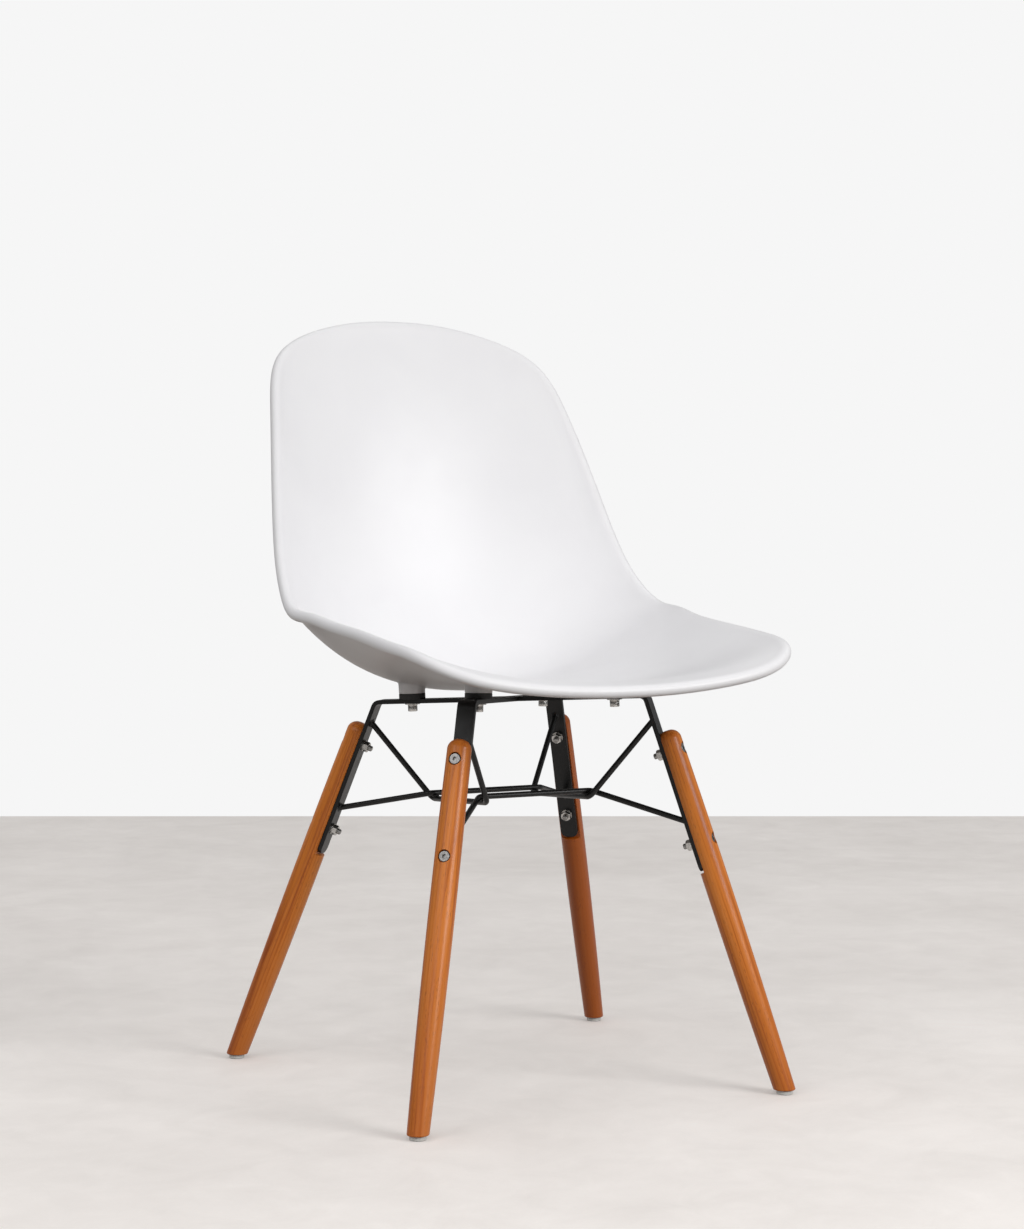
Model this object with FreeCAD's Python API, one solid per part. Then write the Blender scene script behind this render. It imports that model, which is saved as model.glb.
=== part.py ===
"""Moulded plastic shell chair on a wooden four-leg base with a bent steel frame.

Millimetres. +Z is up, the sitter faces -Y, and -X is the sitter's right.
The origin is on the floor, under the middle of the chair's overall box.
"""
import FreeCAD, Part
import math
import os

from FreeCAD import Matrix, Vector

# Shell: centreline of the underside from the front lip to the top edge, as (y, z) from the frame's middle
SPINE = [
    (-239.0, 19.0),
    (-221.0, 22.0),
    (-155.0, 16.0),
    (-56.0, 14.0),
    (49.0, 5.5),
    (126.0, 7.0),
    (176.0, 55.0),
    (215.0, 152.0),
    (247.0, 284.0),
    (288.0, 406.0),
]
# Side wings: share of the centreline, rise at LIFT_HALF_WIDTH, lean of the rise from vertical in degrees
LIFT = [
    (0.00, 21.0, 4.0),
    (0.14, 45.0, 6.0),
    (0.30, 60.0, 16.0),
    (0.45, 82.0, 36.0),
    (0.58, 75.0, 55.0),
    (0.75, 61.0, 66.0),
    (1.00, 24.0, 70.0),
]
LIFT_HALF_WIDTH = 200.0
LIFT_POWER = 2.3
# Rim: share of the centreline, half width, from the middle of the front lip to the middle of the top
RIM = [
    (0.000, 0.0),
    (0.004, 113.0),
    (0.043, 204.0),
    (0.220, 211.0),
    (0.400, 220.0),
    (0.530, 214.0),
    (0.700, 197.0),
    (0.850, 178.0),
    (0.942, 150.0),
    (0.989, 76.0),
    (1.000, 0.0),
]
SHELL_THICKNESS = 5.0
BEAD_RADIUS = 6.0
GATE_SHARE = 0.31
GATE_RADIUS = 12.0
# Sections of the shell: shares of the way from gate to rim, then distances from the rim with a rise
SECTION_SHARES = [0.14, 0.26, 0.38, 0.50, 0.62, 0.73, 0.83]
UPPER_APPROACH = [(26.0, 0.0), (14.0, 0.1), (6.5, 0.6)]
LOWER_APPROACH = [(7.6, -0.7), (11.0, 0.0), (16.0, 0.0), (26.0, 0.0)]
BEAD_ANGLES = [90, 60, 30, 0, -30, -60, -90, -120, -148]

# Seat bosses, rubber mounts and their screws
MOUNT_RADIUS = 110.8
BOSS_DIAMETER = 28.0
RUBBER_DIAMETER = 28.0
RUBBER_THICKNESS = 6.0
RUBBER_ROUND = 0.6
SCREW_DIAMETER = 6.0
SCREW_LENGTH = 20.0
SCREW_HEAD_DIAMETER = 10.0
SCREW_HEAD_HEIGHT = 6.0
SCREW_HEAD_ROUND = 0.5
SCREW_TIP_CHAMFER = 0.6
SCREW_SOCKET = 5.0
SCREW_SOCKET_DEPTH = 3.0
INSERT_DIAMETER = 9.0
INSERT_LENGTH = 8.0
INSERT_FLOOR_GAP = 0.8
MOUNT_WASHER_DIAMETER = 16.0
MOUNT_WASHER_THICKNESS = 1.2
SPRING_WASHER_DIAMETER = 10.4
SPRING_WASHER_THICKNESS = 1.5
SPRING_WASHER_SPLIT = 1.0
SPRING_WASHER_SLANT = 25.0

# Steel frame: two crossing flat bars and four bent rods
FRAME_HEIGHT = 401.0
FRAME_AHEAD = 24.5
FRAME_RISE = 3.5
BAR_ANGLE = 44.5
BAR_WIDTH = 19.0
BAR_THICKNESS = 4.5
BAR_BEND_RADIUS = 5.0
BAR_CORNER_RADIUS = 7.0
BAR_END_BELOW_BOLT = 29.0
ROD_DIAMETER = 6.0
ROD_BEND_RADIUS = 10.0
ROD_GAP = 0.2
RING_DEPTH = 103.5
RING_BACK = 3.8
SIDE_ROD_HALF_SPAN = 60.0
SIDE_ROD_CORNER = 63.5
SIDE_ROD_FRONT_WELD = 19.5
SIDE_ROD_REAR_WELD = 29.5
CROSS_ROD_HALF_SPAN = 56.5
CROSS_ROD_CORNER = 65.5
CROSS_ROD_WELD = 128.3

# Legs
FRONT_SPLAY = 18.8
REAR_SPLAY = 21.7
LEG_AXIS_RADIUS = 156.0
LEG_TOP = 33.7
LEG_TOP_DIAMETER = 24.2
LEG_BELLY_DIAMETER = 26.3
LEG_BELLY = 190.0
LEG_FOOT_DIAMETER = 21.6
LEG_DOME_HEIGHT = 9.0
LEG_DOME_MIDDLE = (0.72, 0.29)
LEG_FLAT_OFFSET = 6.8
LEG_FLAT_CLEARANCE = 0.5
LEG_FLAT_RUNOUT_RADIUS = 2.0
LEG_FOOT_ROUND = 1.2
UPPER_BOLT = 55.5
BOLT_SPACING = 97.4

# Leg bolts and nuts
BOLT_DIAMETER = 6.0
BOLT_HEAD_DIAMETER = 11.5
BOLT_HEAD_HEIGHT = 4.0
BOLT_HEAD_SOCKET = 4.0
BOLT_HEAD_SOCKET_DEPTH = 2.4
BOLT_HEAD_ROUND = 0.8
COUNTERBORE_DIAMETER = 13.0
COUNTERBORE_FLOOR = 7.0
LEG_WASHER_DIAMETER = 12.0
LEG_WASHER_THICKNESS = 1.2
NUT_ACROSS_FLATS = 10.0
NUT_HEIGHT = 5.2
NUT_CHAMFER = 0.7
BOLT_TIP_REACH = 4.0
BOLT_TIP_CHAMFER = 0.7

# Glides
GLIDE_DIAMETER = 16.5
GLIDE_HEIGHT = 4.5
GLIDE_ROUND = 0.8
NAIL_DIAMETER = 2.4
NAIL_HEAD_DIAMETER = 6.0
NAIL_HEAD_THICKNESS = 1.0
NAIL_HEAD_RECESS = 1.0
NAIL_LENGTH = 16.0

# Clearances
HOLE_CLEARANCE = 0.3
THREAD_CLEARANCE = 0.1

# How far a cutting shape runs past the face it cuts
CUT_MARGIN = 1.0

# How finely the shell surface is measured: sections in one turn, sections past the end of a half turn
SECTION_COUNT = 72
SECTION_OVERLAP = 14
SLOPE_STEP = 0.0005

# Each corner: name, side of X, side of Y, splay of its leg
CORNERS = [
    ("front_right", -1, -1, FRONT_SPLAY),
    ("front_left", 1, -1, FRONT_SPLAY),
    ("rear_right", -1, 1, REAR_SPLAY),
    ("rear_left", 1, 1, REAR_SPLAY),
]

LOWER_BOLT = UPPER_BOLT + BOLT_SPACING
BAR_END = LOWER_BOLT + BAR_END_BELOW_BOLT
BAR_OUTER = -LEG_FLAT_OFFSET
BAR_INNER = BAR_OUTER - BAR_THICKNESS
FAR = 1000.0


def export(name, solids):
    """Write one node; several solids stay separate inside it."""
    for solid in solids:
        if not solid.isValid() or solid.Volume <= 0:
            raise ValueError(name + " is not a sound solid")
    shape = solids[0] if len(solids) == 1 else Part.makeCompound(solids)
    shape.exportStep(os.path.join("parts", name + ".step"))


def one_solid(shape):
    """The single solid of a boolean result, with its faces joined."""
    merged = shape.removeSplitter()
    if len(merged.Solids) != 1:
        raise ValueError("expected one solid, found %d" % len(merged.Solids))
    return merged.Solids[0]


def cylinder(radius, low, high):
    """Upright cylinder on the Z axis between two heights."""
    return Part.makeCylinder(radius, high - low, Vector(0, 0, low))


def round_edges_at(body, radius, height):
    """Fillet the circular edges of an upright body at one height."""
    return body.makeFillet(radius, edges_where(body, circle_at(height)))


def circle_at(height):
    """Test for a closed edge at a height."""
    return lambda middle, edge: edge.Closed and abs(middle.z - height) < 0.1


def hexagon(across_flats, low, high):
    """Upright hexagonal prism on the Z axis between two heights."""
    reach = across_flats / math.sqrt(3.0)
    points = [
        Vector(reach * math.cos(math.radians(60 * k)), reach * math.sin(math.radians(60 * k)), low)
        for k in range(7)
    ]
    return Part.Face(Part.makePolygon(points)).extrude(Vector(0, 0, high - low))


def edges_where(shape, test):
    """Edges of a shape that pass a test of their middle point and themselves."""
    found = []
    for edge in shape.Edges:
        if edge.Degenerated:
            continue
        first, last = edge.ParameterRange
        if test(edge.valueAt((first + last) / 2), edge):
            found.append(edge)
    return found


# Frames of reference

def axes_matrix(origin, x_axis, y_axis, z_axis):
    """Matrix that carries local axes to the given directions and origin."""
    return Matrix(
        x_axis.x, y_axis.x, z_axis.x, origin.x,
        x_axis.y, y_axis.y, z_axis.y, origin.y,
        x_axis.z, y_axis.z, z_axis.z, origin.z,
        0, 0, 0, 1,
    )


def frame_matrix():
    """The steel frame's own level axes: the middle of its top is the origin."""
    return axes_matrix(
        Vector(0, -FRAME_AHEAD, FRAME_HEIGHT), Vector(1, 0, 0), Vector(0, 1, 0), Vector(0, 0, 1)
    )


def rise_at(along_y):
    """How far the sloping frame stands above its middle; it rises to the front."""
    return -along_y * math.tan(math.radians(FRAME_RISE))


def radial_direction(side_x, side_y):
    """Plan direction of a flat bar's arm."""
    angle = math.radians(BAR_ANGLE)
    return Vector(side_x * math.cos(angle), side_y * math.sin(angle), 0)


def bar_matrix(side_x, side_y):
    """Axes of a flat bar in the frame's: X up or down the bar to a corner, Z square to its top face."""
    radial = radial_direction(side_x, side_y)
    along = Vector(radial.x, radial.y, rise_at(radial.y)).normalize()
    across = Vector(0, 0, 1).cross(radial)
    return axes_matrix(Vector(0, 0, 0), along, across, along.cross(across))


def leg_matrix(side_x, side_y, splay):
    """A leg's axes inside the frame's: X outward, Z up the leg, origin level with the frame's top."""
    radial = radial_direction(side_x, side_y)
    lean = math.radians(splay)
    outward = radial * math.cos(lean) + Vector(0, 0, math.sin(lean))
    upward = radial * -math.sin(lean) + Vector(0, 0, math.cos(lean))
    return axes_matrix(radial * LEG_AXIS_RADIUS, outward, upward.cross(outward), upward)


def placed(shape, *matrices):
    """A copy of a shape carried by matrices, the innermost frame first."""
    result = shape.copy()
    for matrix in matrices:
        result = result.transformed(matrix)
    return result


FRAME = frame_matrix()


# Shell surface

def spline(values, stations):
    """Smooth curve through points at given parameters."""
    curve = Part.BSplineCurve()
    curve.interpolate(Points=values, Parameters=stations)
    return curve


class ShellForm:
    """The underside of the shell as a function of centreline share and distance to the side."""

    def __init__(self):
        runs = [math.dist(a, b) for a, b in zip(SPINE, SPINE[1:])]
        shares = [sum(runs[:k]) / sum(runs) for k in range(len(SPINE))]
        self.spine = spline([Vector(0, y - FRAME_AHEAD, z + FRAME_HEIGHT) for y, z in SPINE], shares)
        self.lift = spline([Vector(rise, lean, 0) for _, rise, lean in LIFT], [row[0] for row in LIFT])
        self.rim = self.rim_loop()

    def rim_loop(self):
        """The whole rim as share and signed half width, run on past both ends of the loop."""
        right = [Vector(share, width, 0) for share, width in RIM]
        left = [Vector(share, -width, 0) for share, width in reversed(RIM[1:-1])]
        loop = right + left
        count = len(loop)
        turns = range(-count, 2 * count + 1)
        extended = [loop[k % count] for k in turns]
        stations = [float(k) / count for k in turns]
        return spline(extended, stations)

    def underside(self, share, across):
        """A point of the underside."""
        share = min(max(share, 0.0), 1.0)
        rise, lean, _ = self.lift.value(share)
        height = rise * (abs(across) / LIFT_HALF_WIDTH) ** LIFT_POWER
        centre = self.spine.value(share)
        lean = math.radians(lean)
        return centre + Vector(across, -height * math.sin(lean), height * math.cos(lean))

    def normal(self, share, across):
        """Unit normal towards the sitter."""
        low = max(share - SLOPE_STEP, 0.0)
        high = min(share + SLOPE_STEP, 1.0)
        along = self.underside(high, across) - self.underside(low, across)
        step = SLOPE_STEP * LIFT_HALF_WIDTH
        sideways = self.underside(share, across + step) - self.underside(share, across - step)
        return sideways.cross(along).normalize()

    def rim_frame(self, station):
        """Bead centre, normal and outward direction at a place on the rim."""
        share, across, _ = self.rim.value(station)
        before = self.rim.value(station - SLOPE_STEP)
        after = self.rim.value(station + SLOPE_STEP)
        tangent = self.underside(after.x, after.y) - self.underside(before.x, before.y)
        normal = self.normal(share, across)
        outward = tangent.cross(normal).normalize()
        normal = outward.cross(tangent).normalize()
        return share, across, self.underside(share, across), normal, outward


def section_points(form, station):
    """One radial section of the shell: over the top, round the bead and back below."""
    share, across, bead, bead_normal, outward = form.rim_frame(station)
    gate = form.underside(GATE_SHARE, 0.0)
    gate_normal = form.normal(GATE_SHARE, 0.0)
    reach = (bead - gate).Length

    def inside(part, height):
        """A point at a share of the way from gate to rim, raised off the underside."""
        place = GATE_SHARE + part * (share - GATE_SHARE)
        point = form.underside(place, part * across)
        return point + form.normal(place, part * across) * height

    def near_rim(distance, height):
        return inside(1.0 - distance / reach, height)

    def round_bead(angle):
        turn = math.radians(angle)
        direction = outward * math.cos(turn) + bead_normal * math.sin(turn)
        return bead + direction * BEAD_RADIUS

    heading = bead - gate
    heading = (heading - gate_normal * heading.dot(gate_normal)).normalize()
    upper_gate = gate + gate_normal * SHELL_THICKNESS + heading * GATE_RADIUS
    lower_gate = gate + heading * GATE_RADIUS
    upper = [upper_gate] + [inside(part, SHELL_THICKNESS) for part in SECTION_SHARES]
    upper += [near_rim(distance, SHELL_THICKNESS + rise) for distance, rise in UPPER_APPROACH]
    bead_round = [round_bead(angle) for angle in BEAD_ANGLES]
    lower = [near_rim(distance, rise) for distance, rise in LOWER_APPROACH]
    lower += [inside(part, 0.0) for part in reversed(SECTION_SHARES)] + [lower_gate]
    return upper, bead_round, lower


def half_skin(form, first):
    """Top, bead and underside faces of half a turn, cut from one smooth surface."""
    last = first + SECTION_COUNT // 2
    turns = range(first - SECTION_OVERLAP, last + SECTION_OVERLAP + 1)
    lists = [section_points(form, float(k) / SECTION_COUNT) for k in turns]
    sections = [upper + bead_round + lower for upper, bead_round, lower in lists]
    around = [float(k) for k in turns]
    count = len(sections[0])
    rings = [spline([section[k] for section in sections], around) for k in range(count)]
    stations = [0.0]
    for k in range(1, count):
        gaps = [(section[k] - section[k - 1]).Length for section in sections]
        stations.append(stations[-1] + sum(gaps) / len(gaps))
    poles = [ring.getPoles() for ring in rings]
    crossings = [spline([row[k] for row in poles], stations) for k in range(len(poles[0]))]
    surface = Part.BSplineSurface()
    surface.buildFromPolesMultsKnots(
        [crossing.getPoles() for crossing in crossings],
        rings[0].getMultiplicities(), crossings[0].getMultiplicities(),
        rings[0].getKnots(), crossings[0].getKnots(),
        False, False, 3, 3,
    )
    bead_start = len(lists[0][0])
    cuts = [0, bead_start, bead_start + len(lists[0][1]), count - 1]
    faces = []
    for low, high in zip(cuts, cuts[1:]):
        strip = surface.copy()
        strip.segment(float(first), float(last), stations[low], stations[high])
        faces.append(strip.toShape())
    return faces


def shell_blank(form):
    """The shell as a solid, before its bosses."""
    faces = half_skin(form, 0) + half_skin(form, SECTION_COUNT // 2)
    gate = form.underside(GATE_SHARE, 0.0)
    gate_normal = form.normal(GATE_SHARE, 0.0)
    caps = []
    for level in (0.0, SHELL_THICKNESS):
        centre = gate + gate_normal * level

        def round_gate(middle, edge):
            return abs((middle - centre).Length - GATE_RADIUS) < 0.2

        edges = [edge for face in faces for edge in edges_where(face, round_gate)]
        caps.append(Part.Face(Part.Wire(edges)))
    closed = Part.makeShell(faces + caps)
    closed.sewShape()
    solid = Part.makeSolid(closed)
    if solid.Volume < 0:
        solid.reverse()
    return solid


def mount_axes():
    """World axes of each mount, square to its bar with the bar's top face at z = 0, by corner name."""
    step = Matrix()
    step.move(Vector(MOUNT_RADIUS, 0, 0))
    return {name: FRAME * bar_matrix(side_x, side_y) * step for name, side_x, side_y, _ in CORNERS}


def share_under(form, point):
    """Centreline share whose underside lies over a world point."""
    low = 0.0
    high = 0.6
    for _ in range(40):
        middle = (low + high) / 2
        if form.underside(middle, point.x).y < point.y:
            low = middle
        else:
            high = middle
    return (low + high) / 2


def boss(form, axes):
    """One moulded boss that ends inside the shell's wall."""
    column = placed(cylinder(BOSS_DIAMETER / 2, RUBBER_THICKNESS, RUBBER_THICKNESS + FAR), axes)
    foot = axes.multVec(Vector(0, 0, RUBBER_THICKNESS))
    share = share_under(form, foot)
    normal = form.normal(share, foot.x)
    seat = form.underside(share, foot.x) + normal * (SHELL_THICKNESS / 2)
    slab = Part.makeBox(2 * FAR, 2 * FAR, 2 * FAR, Vector(-FAR, -FAR, 0))
    x_axis = Vector(0, 1, 0).cross(normal).normalize()
    slab = slab.transformed(axes_matrix(seat, x_axis, normal.cross(x_axis), normal))
    return column.cut(slab)


def seat_shell(form):
    """Shell with its four bosses, each drilled for an insert."""
    body = shell_blank(form)
    for axes in mount_axes().values():
        body = body.fuse(boss(form, axes))
    for axes in mount_axes().values():
        hole = cylinder(INSERT_DIAMETER / 2 + THREAD_CLEARANCE, RUBBER_THICKNESS - CUT_MARGIN,
                        RUBBER_THICKNESS + INSERT_LENGTH + INSERT_FLOOR_GAP)
        body = body.cut(placed(hole, axes))
    return body.Solids[0]


# Seat mounts, each built on the Z axis with the bar's top face at z = 0

def insert_piece():
    body = cylinder(INSERT_DIAMETER / 2, RUBBER_THICKNESS, RUBBER_THICKNESS + INSERT_LENGTH)
    bore = cylinder(SCREW_DIAMETER / 2 + THREAD_CLEARANCE, RUBBER_THICKNESS - CUT_MARGIN,
                    RUBBER_THICKNESS + INSERT_LENGTH + CUT_MARGIN)
    return body.cut(bore)


def rubber_piece():
    body = cylinder(RUBBER_DIAMETER / 2, 0.0, RUBBER_THICKNESS)
    body = round_edges_at(body, RUBBER_ROUND, 0.0)
    body = round_edges_at(body, RUBBER_ROUND, RUBBER_THICKNESS)
    bore = cylinder(SCREW_DIAMETER / 2 + HOLE_CLEARANCE, -CUT_MARGIN, RUBBER_THICKNESS + CUT_MARGIN)
    return body.cut(bore)


def washer(diameter, bore, low, high):
    """Flat ring on the Z axis."""
    return cylinder(diameter / 2, low, high).cut(cylinder(bore / 2, low - CUT_MARGIN, high + CUT_MARGIN))


def mount_washer_piece():
    return washer(MOUNT_WASHER_DIAMETER, SCREW_DIAMETER + 2 * HOLE_CLEARANCE,
                  -BAR_THICKNESS - MOUNT_WASHER_THICKNESS, -BAR_THICKNESS)


def spring_washer_piece():
    high = -BAR_THICKNESS - MOUNT_WASHER_THICKNESS
    low = high - SPRING_WASHER_THICKNESS
    ring = washer(SPRING_WASHER_DIAMETER, SCREW_DIAMETER + 2 * HOLE_CLEARANCE, low, high)
    split = Part.makeBox(SPRING_WASHER_DIAMETER, SPRING_WASHER_SPLIT, 4 * SPRING_WASHER_THICKNESS,
                         Vector(0, -SPRING_WASHER_SPLIT / 2, low - SPRING_WASHER_THICKNESS))
    split.rotate(Vector(0, 0, low + SPRING_WASHER_THICKNESS / 2), Vector(1, 0, 0), SPRING_WASHER_SLANT)
    return ring.cut(split)


def socket_screw_piece():
    """Cap screw with a hexagon socket, its head below the washers."""
    seat = -BAR_THICKNESS - MOUNT_WASHER_THICKNESS - SPRING_WASHER_THICKNESS
    bottom = seat - SCREW_HEAD_HEIGHT
    head = round_edges_at(cylinder(SCREW_HEAD_DIAMETER / 2, bottom, seat), SCREW_HEAD_ROUND, bottom)
    shank = cylinder(SCREW_DIAMETER / 2, seat, seat + SCREW_LENGTH)
    shank = shank.makeChamfer(SCREW_TIP_CHAMFER, edges_where(shank, circle_at(seat + SCREW_LENGTH)))
    socket = hexagon(SCREW_SOCKET, bottom - CUT_MARGIN, bottom + SCREW_SOCKET_DEPTH)
    return one_solid(head.fuse(shank).cut(socket))


def at_mounts(piece):
    """The same piece at all four mounts."""
    return [placed(piece, axes) for axes in mount_axes().values()]


# Flat bars, drawn in the level plane of the frame: X along the bar to a front corner, Z up

def bar_slope():
    """Rise of a bar for each unit of level length."""
    return rise_at(radial_direction(1, -1).y)


def arm_point(side, splay, down, offset):
    """A point beside a leg axis, by side of the bar: 1 for its front end, -1 for its rear end."""
    lean = math.radians(splay)
    radius = LEG_AXIS_RADIUS + down * math.sin(lean) + offset * math.cos(lean)
    return Vector(side * radius, 0, -down * math.cos(lean) + offset * math.sin(lean))


def arm_corner(side, splay, offset, depth):
    """Where a line beside the leg axis meets a line below the bar's top face."""
    lean = math.radians(splay)
    slope = side * bar_slope()
    start = arm_point(side, splay, 0.0, offset)
    drop = depth / math.cos(math.atan(slope))
    down = (start.z - slope * abs(start.x) + drop) / (math.cos(lean) + slope * math.sin(lean))
    return arm_point(side, splay, down, offset)


def flat_bar():
    """A bar bent down at both ends, its front end towards +X."""
    outer = []
    inner = []
    for side, splay in ((1, FRONT_SPLAY), (-1, REAR_SPLAY)):
        ends = [arm_point(side, splay, BAR_END, BAR_OUTER), arm_corner(side, splay, BAR_OUTER, 0.0)]
        insides = [
            arm_point(side, splay, BAR_END, BAR_INNER),
            arm_corner(side, splay, BAR_INNER, BAR_THICKNESS),
        ]
        outer += ends[::side]
        inner += insides[::side]
    points = [point - Vector(0, BAR_WIDTH / 2, 0) for point in outer + inner[::-1] + outer[:1]]
    bar = Part.Face(Part.makePolygon(points)).extrude(Vector(0, BAR_WIDTH, 0))

    def bend(corners):
        return lambda middle, edge: min(middle.distanceToPoint(corner) for corner in corners) < 0.01

    def end_corner(middle, edge):
        return abs(middle.y) > BAR_WIDTH / 2 - 0.1 and edge.Length < BAR_THICKNESS + 0.1

    bar = bar.makeFillet(BAR_BEND_RADIUS + BAR_THICKNESS, edges_where(bar, bend(outer[1:3])))
    bar = bar.makeFillet(BAR_BEND_RADIUS, edges_where(bar, bend(inner[1:3])))
    bar = bar.makeFillet(BAR_CORNER_RADIUS, edges_where(bar, end_corner))
    upward = Vector(-bar_slope(), 0, 1).normalize()
    for side, splay in ((1, FRONT_SPLAY), (-1, REAR_SPLAY)):
        mount = Vector(side * MOUNT_RADIUS * upward.z, 0, side * MOUNT_RADIUS * -upward.x)
        bar = bar.cut(Part.makeCylinder(SCREW_DIAMETER / 2 + HOLE_CLEARANCE, 3 * BAR_THICKNESS,
                                        mount - upward * 2 * BAR_THICKNESS, upward))
        for down in (UPPER_BOLT, LOWER_BOLT):
            lean = math.radians(splay)
            start = arm_point(side, splay, down, BAR_INNER - BAR_THICKNESS)
            axis = Vector(side * math.cos(lean), 0, math.sin(lean))
            bar = bar.cut(Part.makeCylinder(BOLT_DIAMETER / 2 + HOLE_CLEARANCE, 3 * BAR_THICKNESS,
                                            start, axis))
    return one_solid(bar)


def level_bar_matrix(side_x):
    """Level axes of a bar whose front end points to one side."""
    along = radial_direction(side_x, -1)
    return axes_matrix(Vector(0, 0, 0), along, Vector(0, 0, 1).cross(along), Vector(0, 0, 1))


def flat_bars():
    """The through bar, and the other bar as two halves butt welded to its sides."""
    through = placed(flat_bar(), level_bar_matrix(1))
    crossing = placed(flat_bar(), level_bar_matrix(-1))
    strip = Part.makeBox(FAR, BAR_WIDTH, FAR, Vector(-FAR / 2, -BAR_WIDTH / 2, -FAR / 2))
    halves = crossing.cut(placed(strip, level_bar_matrix(1))).Solids
    halves.sort(key=lambda half: half.CenterOfMass.y)
    return placed(through, FRAME), placed(halves[0], FRAME), placed(halves[1], FRAME)


# Bent rods, in the frame's axes

def rod_path(points):
    """Straight runs joined by tangent arcs."""
    edges = []
    start = points[0]
    for before, corner, after in zip(points, points[1:], points[2:]):
        incoming = (corner - before).normalize()
        outgoing = (after - corner).normalize()
        turn = incoming.getAngle(outgoing)
        reach = ROD_BEND_RADIUS * math.tan(turn / 2)
        begin = corner - incoming * reach
        end = corner + outgoing * reach
        inward = (outgoing - incoming).normalize()
        centre = corner + inward * (ROD_BEND_RADIUS / math.cos(turn / 2))
        edges.append(Part.LineSegment(start, begin).toShape())
        edges.append(Part.Arc(begin, centre - inward * ROD_BEND_RADIUS, end).toShape())
        start = end
    edges.append(Part.LineSegment(start, points[-1]).toShape())
    return Part.Wire(edges)


def rod(points):
    """A round rod along a path of straight runs."""
    path = rod_path(points)
    heading = (points[1] - points[0]).normalize()
    section = Part.Wire(Part.makeCircle(ROD_DIAMETER / 2, points[0], heading))
    return path.makePipeShell([section], True, False)


def weld_point(side_x, side_y, splay, down, offset):
    """A point beside a leg axis in the frame's axes."""
    return leg_matrix(side_x, side_y, splay).multVec(Vector(offset, 0, -down))


def welded_rod(first, second, corners):
    """A rod between two arms, each given as corner and weld, its ends cut flush with their inner faces."""
    ends = [weld_point(*corner[1:], down, BAR_INNER) for corner, down in (first, second)]
    into_first = (ends[0] - corners[0]).normalize() * BAR_THICKNESS
    into_second = (ends[1] - corners[1]).normalize() * BAR_THICKNESS
    body = rod([ends[0] + into_first, corners[0], corners[1], ends[1] + into_second])
    for corner, _ in (first, second):
        beyond = Part.makeBox(FAR, FAR, 2 * FAR, Vector(BAR_INNER, -FAR / 2, -FAR))
        body = body.cut(placed(beyond, leg_matrix(*corner[1:])))
    return placed(one_solid(body), FRAME)


def ring_corner(across, along, above):
    """A bend of a rod, measured from the middle of the ring in the sloping frame."""
    return Vector(across, along + RING_BACK, above - RING_DEPTH + rise_at(along + RING_BACK))


def rods():
    """Two side rods under two cross rods, welded where they cross."""
    front_right, front_left, rear_right, rear_left = CORNERS
    step = (ROD_DIAMETER + ROD_GAP) / 2
    sides = (("right", -1, front_right, rear_right), ("left", 1, front_left, rear_left))
    ends = (("front", -1, front_right, front_left), ("rear", 1, rear_right, rear_left))
    pieces = {}
    for name, side, front, rear in sides:
        across = side * SIDE_ROD_HALF_SPAN
        bends = [ring_corner(across, along, -step) for along in (-SIDE_ROD_CORNER, SIDE_ROD_CORNER)]
        pieces["side_rod_" + name] = welded_rod(
            (front, SIDE_ROD_FRONT_WELD), (rear, SIDE_ROD_REAR_WELD), bends
        )
    for name, side, right, left in ends:
        along = side * CROSS_ROD_HALF_SPAN
        bends = [ring_corner(across, along, step) for across in (-CROSS_ROD_CORNER, CROSS_ROD_CORNER)]
        pieces["cross_rod_" + name] = welded_rod((right, CROSS_ROD_WELD), (left, CROSS_ROD_WELD), bends)
    return pieces


# Legs, each built in its own axes: X outward, Z up the leg

def axis_at_height(side_x, side_y, splay, height):
    """Where a leg's axis passes a height: the world point and its distance down the axis."""
    carrier = FRAME.multiply(leg_matrix(side_x, side_y, splay))
    top = carrier.multVec(Vector(0, 0, 0))
    step = carrier.multVec(Vector(0, 0, -1)) - top
    down = (height - top.z) / step.z
    return top + step * down, down


def leg_blank(length):
    """Turned leg with a domed top and a gently swollen side, a little longer than needed."""
    top_radius = LEG_TOP_DIAMETER / 2
    foot_radius = LEG_FOOT_DIAMETER / 2
    shoulder = Vector(top_radius, 0, -LEG_TOP - LEG_DOME_HEIGHT)
    apex = Vector(0, 0, -LEG_TOP)
    belly = Vector(LEG_BELLY_DIAMETER / 2, 0, -LEG_BELLY)
    foot = Vector(foot_radius, 0, -length)
    tail = Vector(foot_radius, 0, -length - LEG_FOOT_DIAMETER)
    mid_radius, mid_drop = LEG_DOME_MIDDLE
    dome_middle = Vector(top_radius * mid_radius, 0, -LEG_TOP - LEG_DOME_HEIGHT * mid_drop)
    side = Part.BSplineCurve()
    side.interpolate([shoulder, belly, foot])
    edges = [
        Part.Arc(apex, dome_middle, shoulder).toShape(),
        side.toShape(),
        Part.LineSegment(foot, tail).toShape(),
        Part.LineSegment(tail, Vector(0, 0, tail.z)).toShape(),
        Part.LineSegment(Vector(0, 0, tail.z), apex).toShape(),
    ]
    return Part.Face(Part.Wire(edges)).revolve(Vector(0, 0, 0), Vector(0, 0, 1), 360)


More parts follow.
